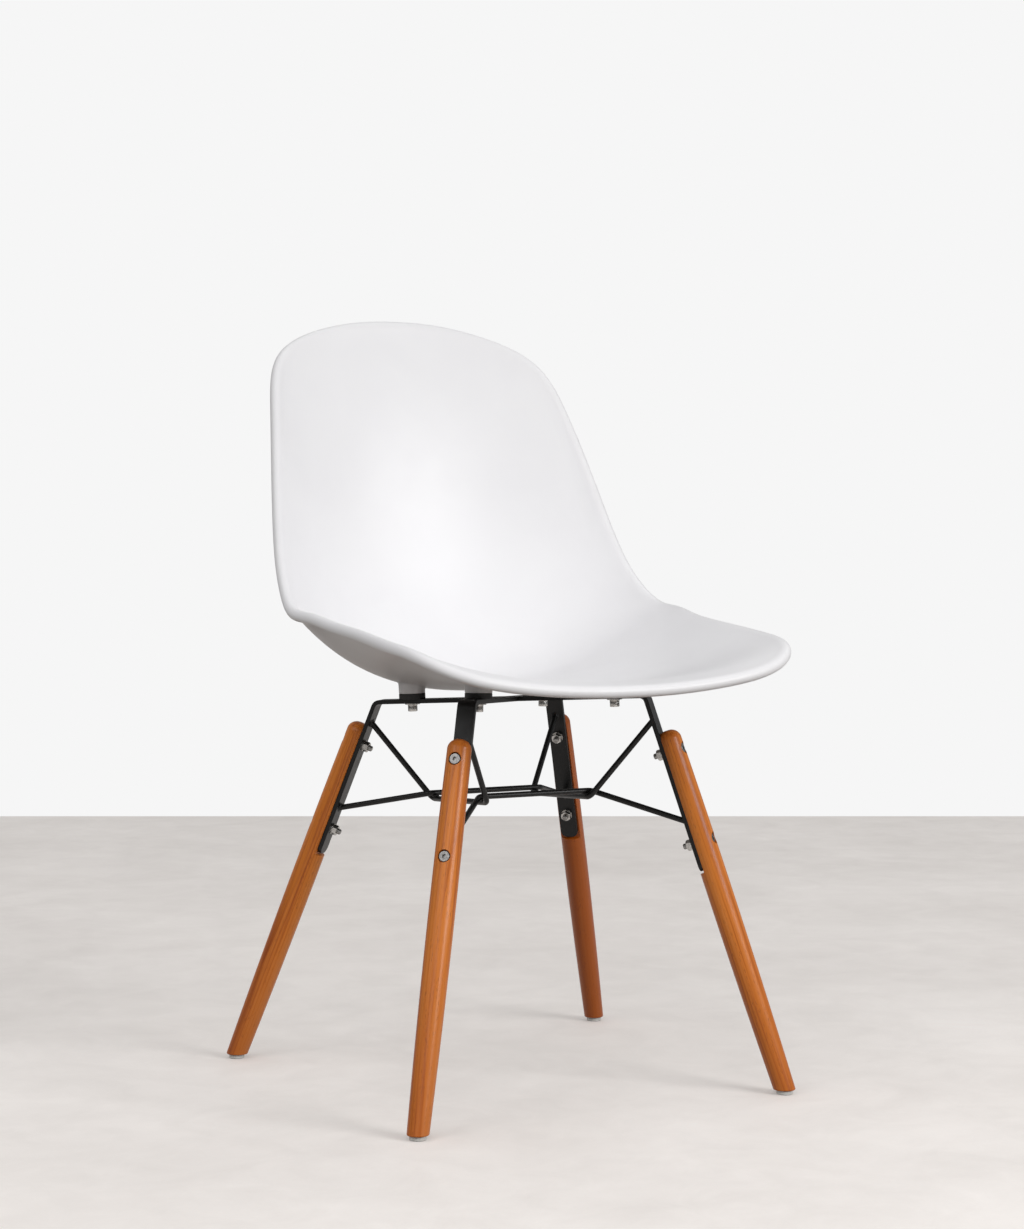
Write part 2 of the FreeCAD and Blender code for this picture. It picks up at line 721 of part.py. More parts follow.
def flat_cutter():
    """Space for the bar's arm on the leg's inner side, run out with a radius below the arm."""
    low = -BAR_END - LEG_FLAT_CLEARANCE
    radius = LEG_FLAT_RUNOUT_RADIUS
    depth = BAR_OUTER - radius
    start = Vector(BAR_OUTER, 0, 0)
    bottom = Vector(BAR_OUTER, 0, low)
    diagonal = radius * math.sqrt(0.5)
    mid = Vector(depth + diagonal, 0, low - diagonal)
    corner = Vector(depth, 0, low - radius)
    outside = Vector(-LEG_BELLY_DIAMETER, 0, low - radius)
    edges = [
        Part.LineSegment(start, bottom).toShape(),
        Part.Arc(bottom, mid, corner).toShape(),
        Part.LineSegment(corner, outside).toShape(),
        Part.LineSegment(outside, Vector(outside.x, 0, 0)).toShape(),
        Part.LineSegment(Vector(outside.x, 0, 0), start).toShape(),
    ]
    cutter = Part.Face(Part.Wire(edges)).extrude(Vector(0, 2 * LEG_BELLY_DIAMETER, 0))
    cutter.translate(Vector(0, -LEG_BELLY_DIAMETER, 0))
    return cutter


def leg(side_x, side_y, splay):
    """One finished leg in world axes, with its bolt holes, level foot and nail hole."""
    _, length = axis_at_height(side_x, side_y, splay, 0.0)
    body = leg_blank(length).cut(flat_cutter())
    for down in (UPPER_BOLT, LOWER_BOLT):
        centre = Vector(0, 0, -down)
        outward = Vector(1, 0, 0)
        start = centre - outward * LEG_BELLY_DIAMETER
        through = Part.makeCylinder(BOLT_DIAMETER / 2 + HOLE_CLEARANCE, 2 * LEG_BELLY_DIAMETER,
                                    start, outward)
        floor = centre + outward * COUNTERBORE_FLOOR
        counterbore = Part.makeCylinder(COUNTERBORE_DIAMETER / 2, LEG_BELLY_DIAMETER, floor, outward)
        body = body.cut(through).cut(counterbore)
    body = placed(body, leg_matrix(side_x, side_y, splay), FRAME)
    below = Part.makeBox(2 * FAR, 2 * FAR, FAR, Vector(-FAR, -FAR, GLIDE_HEIGHT - FAR))
    body = body.cut(below)
    body = round_edges_at(body, LEG_FOOT_ROUND, GLIDE_HEIGHT)
    hole = cylinder(NAIL_DIAMETER / 2 + THREAD_CLEARANCE, 0.0, nail_top() + THREAD_CLEARANCE)
    hole.translate(foot_centre(side_x, side_y, splay))
    return one_solid(body.cut(hole))


def foot_centre(side_x, side_y, splay):
    """Floor point under the middle of a leg's foot."""
    point, _ = axis_at_height(side_x, side_y, splay, GLIDE_HEIGHT)
    return Vector(point.x, point.y, 0)


# Leg fasteners, in the leg's axes

def along_x(shape, down):
    """Turn a piece from the Z axis to a leg's outward axis at a distance down the leg."""
    turned = shape.copy()
    turned.rotate(Vector(0, 0, 0), Vector(0, 1, 0), 90)
    turned.translate(Vector(0, 0, -down))
    return turned


def leg_bolt():
    """Bolt with a low round head and hexagon socket; Z is the leg's outward axis."""
    tip = BAR_INNER - LEG_WASHER_THICKNESS - NUT_HEIGHT - BOLT_TIP_REACH
    top = COUNTERBORE_FLOOR + BOLT_HEAD_HEIGHT
    head = round_edges_at(cylinder(BOLT_HEAD_DIAMETER / 2, COUNTERBORE_FLOOR, top), BOLT_HEAD_ROUND, top)
    shank = cylinder(BOLT_DIAMETER / 2, tip, COUNTERBORE_FLOOR)
    shank = shank.makeChamfer(BOLT_TIP_CHAMFER, edges_where(shank, circle_at(tip)))
    socket = hexagon(BOLT_HEAD_SOCKET, top - BOLT_HEAD_SOCKET_DEPTH, top + CUT_MARGIN)
    return one_solid(head.fuse(shank).cut(socket))


def leg_washer():
    return washer(LEG_WASHER_DIAMETER, BOLT_DIAMETER + 2 * HOLE_CLEARANCE, BAR_INNER - LEG_WASHER_THICKNESS,
                  BAR_INNER)


def leg_nut():
    """Hexagon nut that the bolt's end reaches through."""
    seat = BAR_INNER - LEG_WASHER_THICKNESS
    low = seat - NUT_HEIGHT
    turned = cylinder(NUT_ACROSS_FLATS / math.sqrt(3.0), low, seat)
    turned = turned.makeChamfer(NUT_CHAMFER, edges_where(turned, lambda middle, edge: edge.Closed))
    body = hexagon(NUT_ACROSS_FLATS, low, seat).common(turned)
    bore = cylinder(BOLT_DIAMETER / 2 + THREAD_CLEARANCE, low - CUT_MARGIN, seat + CUT_MARGIN)
    return one_solid(body.cut(bore))


def at_bolts(piece, side_x, side_y, splay):
    """The same fastener at a leg's two bolt holes."""
    return [
        placed(along_x(piece, down), leg_matrix(side_x, side_y, splay), FRAME)
        for down in (UPPER_BOLT, LOWER_BOLT)
    ]


# Glides and nails, upright at the foot

def nail_top():
    return NAIL_HEAD_RECESS + NAIL_LENGTH


def glide_piece():
    body = round_edges_at(cylinder(GLIDE_DIAMETER / 2, 0.0, GLIDE_HEIGHT), GLIDE_ROUND, 0.0)
    recess_top = NAIL_HEAD_RECESS + NAIL_HEAD_THICKNESS
    recess = cylinder(NAIL_HEAD_DIAMETER / 2 + THREAD_CLEARANCE, -CUT_MARGIN, recess_top)
    hole = cylinder(NAIL_DIAMETER / 2 + THREAD_CLEARANCE, 0.0, GLIDE_HEIGHT + CUT_MARGIN)
    return body.cut(recess).cut(hole)


def nail_piece():
    head_top = NAIL_HEAD_RECESS + NAIL_HEAD_THICKNESS
    head = cylinder(NAIL_HEAD_DIAMETER / 2, NAIL_HEAD_RECESS, head_top)
    return one_solid(head.fuse(cylinder(NAIL_DIAMETER / 2, head_top, nail_top())))


def build():
    """Write every node."""
    os.makedirs("parts", exist_ok=True)
    form = ShellForm()
    export("seat_shell", [seat_shell(form)])
    export("seat_inserts", at_mounts(insert_piece()))
    for name, axes in mount_axes().items():
        export("rubber_mount_" + name, [placed(rubber_piece(), axes)])
    export("mount_washers", at_mounts(mount_washer_piece()))
    export("mount_spring_washers", at_mounts(spring_washer_piece()))
    export("mount_screws", at_mounts(socket_screw_piece()))
    through, front_half, rear_half = flat_bars()
    export("flat_bar_through", [through])
    export("flat_bar_front_half", [front_half])
    export("flat_bar_rear_half", [rear_half])
    for name, piece in rods().items():
        export(name, [piece])
    nails = []
    for name, side_x, side_y, splay in CORNERS:
        export("leg_" + name, [leg(side_x, side_y, splay)])
        export("leg_bolts_" + name, at_bolts(leg_bolt(), side_x, side_y, splay))
        export("leg_washers_" + name, at_bolts(leg_washer(), side_x, side_y, splay))
        export("leg_nuts_" + name, at_bolts(leg_nut(), side_x, side_y, splay))
        foot = foot_centre(side_x, side_y, splay)
        glide = glide_piece()
        glide.translate(foot)
        export("glide_" + name, [glide])
        nail = nail_piece()
        nail.translate(foot)
        nails.append(nail)
    export("glide_nails", nails)


if __name__ == "__main__":
    build()
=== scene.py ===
"""Looks of a moulded plastic shell chair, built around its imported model.

Metres, +Z up. The sitter faces -Y, and -X is the sitter's right. The shell, the seat screws and the spring
washers are made here as finer meshes; the other solids keep their shape and get their finish.
"""
import logging
import math
from dataclasses import dataclass, field, replace
from enum import Enum
from functools import reduce
from typing import Mapping, Sequence

import bmesh
import bpy
import numpy as np
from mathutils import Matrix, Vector


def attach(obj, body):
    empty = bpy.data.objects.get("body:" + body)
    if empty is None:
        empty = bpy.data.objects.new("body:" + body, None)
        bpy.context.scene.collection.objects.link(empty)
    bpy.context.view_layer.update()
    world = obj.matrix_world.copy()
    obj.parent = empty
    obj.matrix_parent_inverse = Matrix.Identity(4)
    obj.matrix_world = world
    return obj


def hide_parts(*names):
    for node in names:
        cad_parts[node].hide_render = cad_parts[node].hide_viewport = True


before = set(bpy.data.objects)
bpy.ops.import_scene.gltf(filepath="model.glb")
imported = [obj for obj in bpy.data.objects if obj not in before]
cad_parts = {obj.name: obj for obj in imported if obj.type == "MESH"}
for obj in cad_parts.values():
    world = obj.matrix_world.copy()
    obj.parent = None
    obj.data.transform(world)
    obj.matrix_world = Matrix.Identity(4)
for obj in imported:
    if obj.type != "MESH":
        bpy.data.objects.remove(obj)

LOG = logging.getLogger("chair")
MM = 0.001
BODY = "root"
Colour = tuple[float, float, float]
Socket = bpy.types.NodeSocket
Material = bpy.types.Material
Faces = list[tuple[int, ...]]
Block = tuple[np.ndarray, Faces]


class Slot(Enum):
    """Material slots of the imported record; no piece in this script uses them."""

    SHELL = "shell_plastic"
    ZINC = "zinc_steel"
    BLACK = "black_steel"


class Corner(Enum):
    """The four corners of the base, as (side of X, side of Y)."""

    FRONT_RIGHT = (-1, -1)
    FRONT_LEFT = (1, -1)
    REAR_RIGHT = (-1, 1)
    REAR_LEFT = (1, 1)

    @property
    def label(self) -> str:
        """The corner's part of a node name."""
        return self.name.lower()


# Node helpers


class Graph:
    """A node tree under construction."""

    def __init__(self, tree: bpy.types.NodeTree) -> None:
        """Start with the tree emptied."""
        self.tree = tree
        self.tree.nodes.clear()

    def add(self, kind: str, values: Mapping[object, object] | None = None,
            **settings: object) -> bpy.types.Node:
        """Add a node.

        Args:
            kind: The node's kind, as its type is called after "ShaderNode".
            values: Names or numbers of inputs, each with a constant or a socket to link.
            settings: Attributes of the node.

        Returns:
            The node.
        """
        node = self.tree.nodes.new("ShaderNode" + kind)
        for name, value in settings.items():
            setattr(node, name, value)
        for key, value in (values or {}).items():
            self.feed(node.inputs[key], value)
        return node

    def feed(self, socket: Socket, value: object) -> None:
        """Link a socket or set its constant.

        Args:
            socket: The input to fill.
            value: A socket to link, or a constant.
        """
        if isinstance(value, Socket):
            self.tree.links.new(value, socket)
        else:
            socket.default_value = value

    def math(self, operation: str, first: object, second: object = 0.0) -> Socket:
        """The result of an operation on numbers."""
        return self.add("Math", {0: first, 1: second}, operation=operation).outputs[0]

    def total(self, *parts: tuple[Socket, float]) -> Socket:
        """The sum of values, each times its weight."""
        terms = [self.math("MULTIPLY", value, weight) for value, weight in parts]
        return reduce(lambda whole, term: self.math("ADD", whole, term), terms)

    def shift(self, first: object, second: object) -> Socket:
        """The sum of two vectors."""
        return self.add("VectorMath", {0: first, 1: second}, operation="ADD").outputs[0]

    def along(self, place: Socket, axis: Sequence[float]) -> Socket:
        """How far a place or direction reaches along an axis."""
        return self.add("VectorMath", {0: place, 1: axis}, operation="DOT_PRODUCT").outputs["Value"]

    def span(self, value: object, low: float, high: float, to_low: float = 0.0, to_high: float = 1.0,
             curve: str = "LINEAR") -> Socket:
        """Map one range to another and keep the result inside it.

        Args:
            value: The value to map.
            low: Start of the range read.
            high: End of the range read.
            to_low: Result at the start.
            to_high: Result at the end.
            curve: Kind of interpolation.

        Returns:
            The mapped value.
        """
        values = {"Value": value, "From Min": low, "From Max": high, "To Min": to_low, "To Max": to_high}
        return self.add("MapRange", values, interpolation_type=curve, clamp=True).outputs["Result"]


class Recipe(Graph):
    """One node material under construction."""

    def __init__(self, name: str) -> None:
        """Start a material with a Principled shader and its output.

        Args:
            name: Name of the material.
        """
        self.material = bpy.data.materials.new(name)
        self.material.use_nodes = True
        super().__init__(self.material.node_tree)
        self.shader = self.add("BsdfPrincipled")
        self.add("OutputMaterial", {"Surface": self.shader.outputs["BSDF"]})

    def settle(self, **values: object) -> None:
        """Set inputs of the Principled shader, with underscores for spaces.

        Args:
            values: Socket names and their constants or links.
        """
        for name, value in values.items():
            self.feed(self.shader.inputs[name.replace("_", " ")], value)

    def place(self) -> Socket:
        """Object coordinates, which are the chair's own metres."""
        return self.add("TexCoord").outputs["Object"]

    def noise(self, place: object, scale: float, detail: float = 2.0, rough: float = 0.5,
              distort: float = 0.0) -> Socket:
        """A Noise texture.

        Args:
            place: Coordinates to read.
            scale: Cells per metre.
            detail: Octaves.
            rough: Weight of the finer octaves.
            distort: Swirl of the pattern.

        Returns:
            The noise value.
        """
        values = {"Vector": place, "Scale": scale, "Detail": detail, "Roughness": rough}
        return self.add("TexNoise", {**values, "Distortion": distort}).outputs["Fac"]

    def cells(self, place: object, scale: float) -> Socket:
        """Distance to the nearest point of a Voronoi texture, in cells."""
        return self.add("TexVoronoi", {"Vector": place, "Scale": scale}).outputs["Distance"]

    def ramp(self, value: object, stops: Sequence[tuple[float, Colour]]) -> Socket:
        """A colour ramp.

        Args:
            value: Position on the ramp.
            stops: Positions with their colours.

        Returns:
            The colour.
        """
        node = self.add("ValToRGB", {"Fac": value})
        points = node.color_ramp.elements
        while len(points) < len(stops):
            points.new(1.0)
        for point, (position, colour) in zip(points, stops):
            point.position = position
            point.color = (*colour, 1.0)
        return node.outputs["Color"]

    def blend(self, share: object, first: object, second: object) -> Socket:
        """Mix two colours.

        Args:
            share: Weight of the second colour.
            first: First colour.
            second: Second colour.

        Returns:
            The mixed colour.
        """
        ends = [colour if isinstance(colour, Socket) else (*colour, 1.0) for colour in (first, second)]
        return self.add("Mix", {0: share, 6: ends[0], 7: ends[1]}, data_type="RGBA").outputs[2]

    def relief(self, heights: Sequence[tuple[object, float]], edge_radius: float = 0.0) -> None:
        """Bump the surface, with softened edges where a radius is given.

        Args:
            heights: Height values, each with its depth in metres.
            edge_radius: Radius of the softened edges.
        """
        below = {}
        if edge_radius > 0:
            bevel = self.add("Bevel", {"Radius": edge_radius}, samples=4)
            below = {"Normal": bevel.outputs["Normal"]}
        for value, depth in heights:
            bump = self.add("Bump", {"Distance": depth, "Height": value, **below})
            below = {"Normal": bump.outputs["Normal"]}
        self.settle(**below)


# Finishes


@dataclass(frozen=True)
class MouldedPlastic:
    """White satin moulding with a fine spark-eroded grain."""

    colour: Colour = (0.878, 0.872, 0.885)
    shade: Colour = (0.853, 0.846, 0.862)
    roughness: tuple[float, float] = (0.36, 0.44)

    def make(self) -> Material:
        """Build the material.

        Returns:
            The material.
        """
        recipe = Recipe("moulded_plastic")
        place = recipe.place()
        flow = recipe.noise(place, 9.0, 3.0, 0.55, 0.4)
        grain = recipe.noise(place, 1900.0, 2.0, 0.6)
        peel = recipe.noise(place, 210.0, 2.0, 0.5)
        handling = recipe.noise(place, 34.0, 4.0, 0.65)
        recipe.settle(
            Base_Color=recipe.blend(recipe.span(flow, 0.3, 0.7), self.shade, self.colour),
            Roughness=recipe.span(handling, 0.3, 0.7, *self.roughness),
            IOR=1.49,
        )
        recipe.relief([(grain, 0.00002), (peel, 0.00003)])
        return recipe.material


@dataclass(frozen=True)
class StainedWood:
    """Stained and varnished leg, its grain laid along the leg.

    Stretches squeeze a pattern's coordinates along the leg; scales are its cells per metre.
    """

    light: Colour = (0.82, 0.285, 0.062)
    middle: Colour = (0.69, 0.200, 0.022)
    dark: Colour = (0.34, 0.062, 0.002)
    pore: Colour = (0.13, 0.022, 0.003)
    ring_spacing: float = 0.0034
    pith: float = 0.046
    sway_width: float = 0.016
    figure_stretch: float = 0.055
    fibre_stretch: float = 0.018
    pore_stretch: float = 0.09
    sway_scale: float = 26.0
    blotch_scale: float = 60.0
    band_scale: float = 150.0
    patch_scale: float = 300.0
    fibre_scale: float = 820.0
    pore_scale: float = 1250.0
    foot_stain_and_shade: float = 0.45
    foot_reach: float = 0.22
    head_stain: float = 0.30
    head: tuple[float, float] = (-0.046, -0.035)

    def make(self, name: str, origin: Vector, axes: tuple[Vector, Vector, Vector], length: float,
             seed: int, depth: float) -> Material:
        """Build the material of one leg.

        Args:
            name: Name of the leg.
            origin: A point of the leg's axis, level with the frame's top.
            axes: The leg's outward, sideways and upward directions.
            length: Distance from the origin down to the foot.
            seed: Number that sets this leg's own figure apart.
            depth: Share by which the whole leg is darker, partly its own stain and partly painted shade from
                the seat over it.

        Returns:
            The material.
        """
        recipe = Recipe("stained_wood_" + name)
        local = recipe.shift(recipe.place(), tuple(-origin))
        parts = [recipe.along(local, tuple(axis)) for axis in axes]
        turn = 0.9 + 1.7 * seed
        along_figure = self._stretched(recipe, parts, self.figure_stretch, seed)
        sway = recipe.noise(along_figure, self.sway_scale, 2.0, 0.5)
        sway_side = recipe.math("MULTIPLY", recipe.math("SUBTRACT", sway, 0.5), self.sway_width)
        squares = []
        for part, from_pith in zip(parts, (self.pith * math.cos(turn), self.pith * math.sin(turn))):
            across = recipe.math("ADD", recipe.math("ADD", part, from_pith), sway_side)
            squares.append(recipe.math("MULTIPLY", across, across))
        reach = recipe.math("SQRT", recipe.math("ADD", *squares))
        ring = recipe.math("FRACT", recipe.math("DIVIDE", reach, self.ring_spacing))
        late = recipe.span(ring, 0.55, 0.97)
        early = recipe.span(ring, 0.0, 0.12, 1.0, 0.0)
        ring_dark = recipe.math("MAXIMUM", late, early)
        along_fibre = self._stretched(recipe, parts, self.fibre_stretch, seed + 7)
        fibre = recipe.noise(along_fibre, self.fibre_scale, 3.0, 0.6)
        band = recipe.noise(along_fibre, self.band_scale, 2.0, 0.5)
        along_pores = self._stretched(recipe, parts, self.pore_stretch, seed + 13)
        pores = recipe.span(recipe.cells(along_pores, self.pore_scale), 0.16, 0.30, 1.0, 0.0)
        pore_field = recipe.span(recipe.noise(along_pores, self.patch_scale, 2.0), 0.47, 0.6)
        flecks = recipe.math("MULTIPLY", pores, pore_field)
        blotch = recipe.noise(along_figure, self.blotch_scale, 3.0, 0.55)
        uneven = recipe.math("SUBTRACT", blotch, 0.5)
        tone = recipe.total((band, 0.55), (fibre, 0.35), (uneven, 0.5), (ring_dark, -0.10))
        colour = recipe.ramp(tone, [(0.16, self.dark), (0.42, self.middle), (0.72, self.light)])
        # Darker towards the foot: partly deeper stain in the end grain, partly painted shade.
        foot = recipe.span(parts[2], -length, -length + self.foot_reach, max(self.foot_stain_and_shade, depth), depth)
        head = recipe.span(parts[2], *self.head, depth, self.head_stain)
        colour = recipe.blend(recipe.math("MAXIMUM", foot, head), colour, self.dark)
        colour = recipe.blend(recipe.math("MULTIPLY", flecks, 0.55), colour, self.pore)
        recipe.settle(
            Base_Color=colour,
            Roughness=recipe.span(fibre, 0.3, 0.7, 0.40, 0.52),
            IOR=1.5,
            Specular_IOR_Level=0.25,
            Coat_Weight=0.32,
            Coat_Roughness=0.20,
            Coat_IOR=1.5,
        )
        recipe.relief([(fibre, 0.00004), (recipe.math("SUBTRACT", 1.0, flecks), 0.00006)])
        return recipe.material

    @staticmethod
    def _stretched(recipe: Recipe, parts: Sequence[Socket], stretch: float, seed: int) -> Socket:
        """Coordinates squeezed along the leg, so that a pattern is drawn out there.

        Args:
            recipe: The material under construction.
            parts: The leg's outward, sideways and upward coordinates.
            stretch: Factor of the upward coordinate.
            seed: Number that moves the pattern to a place of its own.

        Returns:
            The vector.
        """
        lengthwise = recipe.math("MULTIPLY", parts[2], stretch)
        node = recipe.add("CombineXYZ", {0: parts[0], 1: parts[1], 2: lengthwise})
        return recipe.shift(node.outputs[0], (1.37 * seed, 0.71 * seed, 0.43 * seed))


@dataclass(frozen=True)
class CloudedFinish:
    """Finish of two tones, clouded by a coarse pattern and grained by a fine one.

    A pattern is a scale, a number of octaves and the weight of the finer ones.
    """

    name: str
    colour: Colour
    other: Colour
    clouds: tuple[float, float, float]
    share: tuple[float, float]
    grain: tuple[float, float, float]
    roughness: tuple[float, float]
    depth: float
    edge_radius: float = 0.0
    metallic: float = 0.0
    index: float = 1.5
    specular: float = 0.5
    grain_roughens: bool = False

    def make(self) -> Material:
        """Build the material.

        Returns:
            The material.
        """
        recipe = Recipe(self.name)
        place = recipe.place()
        clouds = recipe.noise(place, *self.clouds)
        grain = recipe.noise(place, *self.grain)
        rougher = grain if self.grain_roughens else clouds
        recipe.settle(
            Base_Color=recipe.blend(recipe.span(clouds, *self.share), self.colour, self.other),
            Metallic=self.metallic,
            Roughness=recipe.span(rougher, 0.3, 0.7, *self.roughness),
            IOR=self.index,
            Specular_IOR_Level=self.specular,
        )
        recipe.relief([(grain, self.depth)], self.edge_radius)
        return recipe.material


POWDER_COAT = CloudedFinish(
    name="powder_coat", colour=(0.005, 0.005, 0.005), other=(0.009, 0.009, 0.009),
    clouds=(90.0, 4.0, 0.6), share=(0.35, 0.7), grain=(1400.0, 2.0, 0.5),
    roughness=(0.30, 0.40), depth=0.00004, edge_radius=0.0005, specular=0.3,
)
ZINC_PLATE = CloudedFinish(
    name="zinc_plate", colour=(0.56, 0.55, 0.53), other=(0.36, 0.35, 0.335),
    clouds=(700.0, 3.0, 0.6), share=(0.35, 0.7), grain=(2600.0, 2.0, 0.5),
    roughness=(0.16, 0.30), depth=0.00001, edge_radius=0.0002, metallic=1.0, grain_roughens=True,
)
BOLT_PLATE = replace(
    ZINC_PLATE, name="bolt_plate", colour=(0.30, 0.295, 0.285), other=(0.17, 0.165, 0.16),
    roughness=(0.20, 0.34),
)
BLACK_RUBBER = CloudedFinish(
    name="black_rubber", colour=(0.012, 0.012, 0.012), other=(0.030, 0.030, 0.031),
    clouds=(160.0, 4.0, 0.65), share=(0.4, 0.75), grain=(2400.0, 2.0, 0.5),
    roughness=(0.62, 0.78), depth=0.00003, edge_radius=0.0003, index=1.52,
)
INSERT_BRASS = CloudedFinish(
    name="insert_brass", colour=(0.60, 0.42, 0.16), other=(0.36, 0.24, 0.09),
    clouds=(600.0, 3.0, 0.6), share=(0.4, 0.7), grain=(600.0, 3.0, 0.6),
    roughness=(0.26, 0.42), depth=0.00001, metallic=1.0,
)


@dataclass(frozen=True)
class GlidePlastic:
    """Milky translucent plastic of the glides, scuffed underneath."""

    colour: Colour = (0.74, 0.73, 0.70)
    scuffed: Colour = (0.52, 0.50, 0.46)
    worn_height: float = 0.0012

    def make(self) -> Material:
        """Build the material.

        Returns:
            The material.
        """
        recipe = Recipe("glide_plastic")
        place = recipe.place()
        height = recipe.add("SeparateXYZ", {0: place}).outputs["Z"]
        low = recipe.span(height, 0.0, self.worn_height, 1.0, 0.0)
        scuff = recipe.noise(place, 800.0, 4.0, 0.6)
        wear = recipe.math("MULTIPLY", low, recipe.span(scuff, 0.4, 0.65, 0.0, 1.0))
        recipe.settle(
            Base_Color=recipe.blend(wear, self.colour, self.scuffed),
            Roughness=recipe.span(scuff, 0.3, 0.7, 0.34, 0.5),
            IOR=1.5,
            Subsurface_Weight=0.35,
            Subsurface_Radius=(0.004, 0.004, 0.0035),
            Transmission_Weight=0.12,
        )
        recipe.relief([(scuff, 0.00003)])
        return recipe.material


@dataclass(frozen=True)
class ConcreteFloor:
    """Pale trowelled floor with soft clouds."""

    pale: Colour = (0.86, 0.820, 0.790)
    cloud: Colour = (0.75, 0.710, 0.680)
    bounce: Colour = (0.15, 0.132, 0.115)
    lift: float = 0.17

    def make(self) -> Material:
        """Build the material.

        Returns:
            The material.
        """
        recipe = Recipe("concrete_floor")
        place = recipe.place()
        clouds = recipe.noise(place, 2.6, 6.0, 0.62, 0.6)
        trowel = recipe.noise(place, 14.0, 5.0, 0.65, 0.9)
        grit = recipe.noise(place, 260.0, 2.0, 0.5)
        tone = recipe.total((clouds, 0.6), (trowel, 0.32), (grit, 0.08))
        seen = recipe.ramp(tone, [(0.34, self.cloud), (0.66, self.pale)])
        path = recipe.add("LightPath").outputs
        shows = recipe.math("MAXIMUM", path["Is Camera Ray"], path["Is Glossy Ray"])
        shows = recipe.math("MAXIMUM", shows, path["Is Transmission Ray"])
        recipe.settle(
            Base_Color=recipe.blend(shows, self.bounce, seen),
            Emission_Color=seen,
            Emission_Strength=recipe.math("MULTIPLY", shows, self.lift),
            Roughness=recipe.span(trowel, 0.3, 0.7, 0.6, 0.75),
            Specular_IOR_Level=0.3,
        )
        recipe.relief([(grit, 0.0001)])
        return recipe.material


@dataclass
class Finishes:
    """Every finish that more than one piece uses, made once."""

    shell: Material = field(init=False)
    black: Material = field(init=False)
    zinc: Material = field(init=False)
    bolt: Material = field(init=False)
    rubber: Material = field(init=False)
    brass: Material = field(init=False)
    glide: Material = field(init=False)

    def __post_init__(self) -> None:
        """Build the materials."""
        self.shell = MouldedPlastic().make()
        self.black = POWDER_COAT.make()
        self.zinc = ZINC_PLATE.make()
        self.bolt = BOLT_PLATE.make()
        self.rubber = BLACK_RUBBER.make()
        self.brass = INSERT_BRASS.make()
        self.glide = GlidePlastic().make()


# Shared ways of making and dressing pieces


def dress_node(name: str, material: Material) -> None:
    """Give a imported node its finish.

    Args:
        name: Name of the node.
        material: The finish.
    """
    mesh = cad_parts[name].data
    mesh.materials.clear()
    mesh.materials.append(material)
    LOG.info("node %s dressed in %s", name, material.name)


def join_blocks(blocks: Sequence[Block]) -> Block:
    """Join blocks into one, each block's faces counted on from the points before it.

    Args:
        blocks: The blocks.

    Returns:
        Their points and their faces.
    """
    points: list[np.ndarray] = []
    faces: Faces = []
    start = 0
    for block, block_faces in blocks:
        points.append(block)
        faces += [tuple(start + number for number in face) for face in block_faces]
        start += len(block)
    return np.vstack(points), faces


def put_in_scene(name: str, data: bpy.types.ID) -> bpy.types.Object:
    """Make an object of its data and link it to the scene."""
    made = bpy.data.objects.new(name, data)
    bpy.context.scene.collection.objects.link(made)
    return made


def new_piece(name: str, points: np.ndarray, faces: Faces, material: Material) -> bpy.types.Object:
    """Make a smooth mesh piece that rides on the chair.

    Args:
        name: Name of the piece.
        points: Vertex positions, in metres.
        faces: Vertex numbers of each face.
        material: The finish.

    Returns:
        The piece.
    """
    mesh = bpy.data.meshes.new(name)
    mesh.from_pydata([tuple(point) for point in points], [], faces)
    mesh.validate()
    build = bmesh.new()
    build.from_mesh(mesh)
    bmesh.ops.remove_doubles(build, verts=build.verts, dist=1e-7)
    bmesh.ops.recalc_face_normals(build, faces=build.faces)
    build.to_mesh(mesh)
    build.free()
    mesh.polygons.foreach_set("use_smooth", [True] * len(mesh.polygons))
    mesh.materials.append(material)
    piece = put_in_scene(name, mesh)
    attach(piece, BODY)
    LOG.info("piece %s made with %d faces", name, len(mesh.polygons))
    return piece


def grid_faces(rows: int, columns: int) -> Faces:
    """Quads between closed rings of points.

    Args:
        rows: Number of rings.
        columns: Points in a ring.

    Returns:
        The faces.
    """
    faces = []
    for low in range(0, (rows - 1) * columns, columns):
        high = low + columns
        for column in range(columns):
            beside = (column + 1) % columns
            faces.append((low + column, low + beside, high + beside, high + column))
    return faces


def capped(rows: int, columns: int) -> Faces:
    """Quads between closed rings of points, with a face across the first ring and the last."""
    first, last = range(columns), range((rows - 1) * columns, rows * columns)
    return grid_faces(rows, columns) + [tuple(first), tuple(reversed(last))]


def circle(count: int) -> tuple[np.ndarray, np.ndarray]:
    """Angles round a circle, and its points at radius one in the level plane."""
    turns = np.linspace(0.0, 2 * math.pi, count, endpoint=False)
    return turns, np.stack([np.cos(turns), np.sin(turns), 0 * turns], axis=-1)


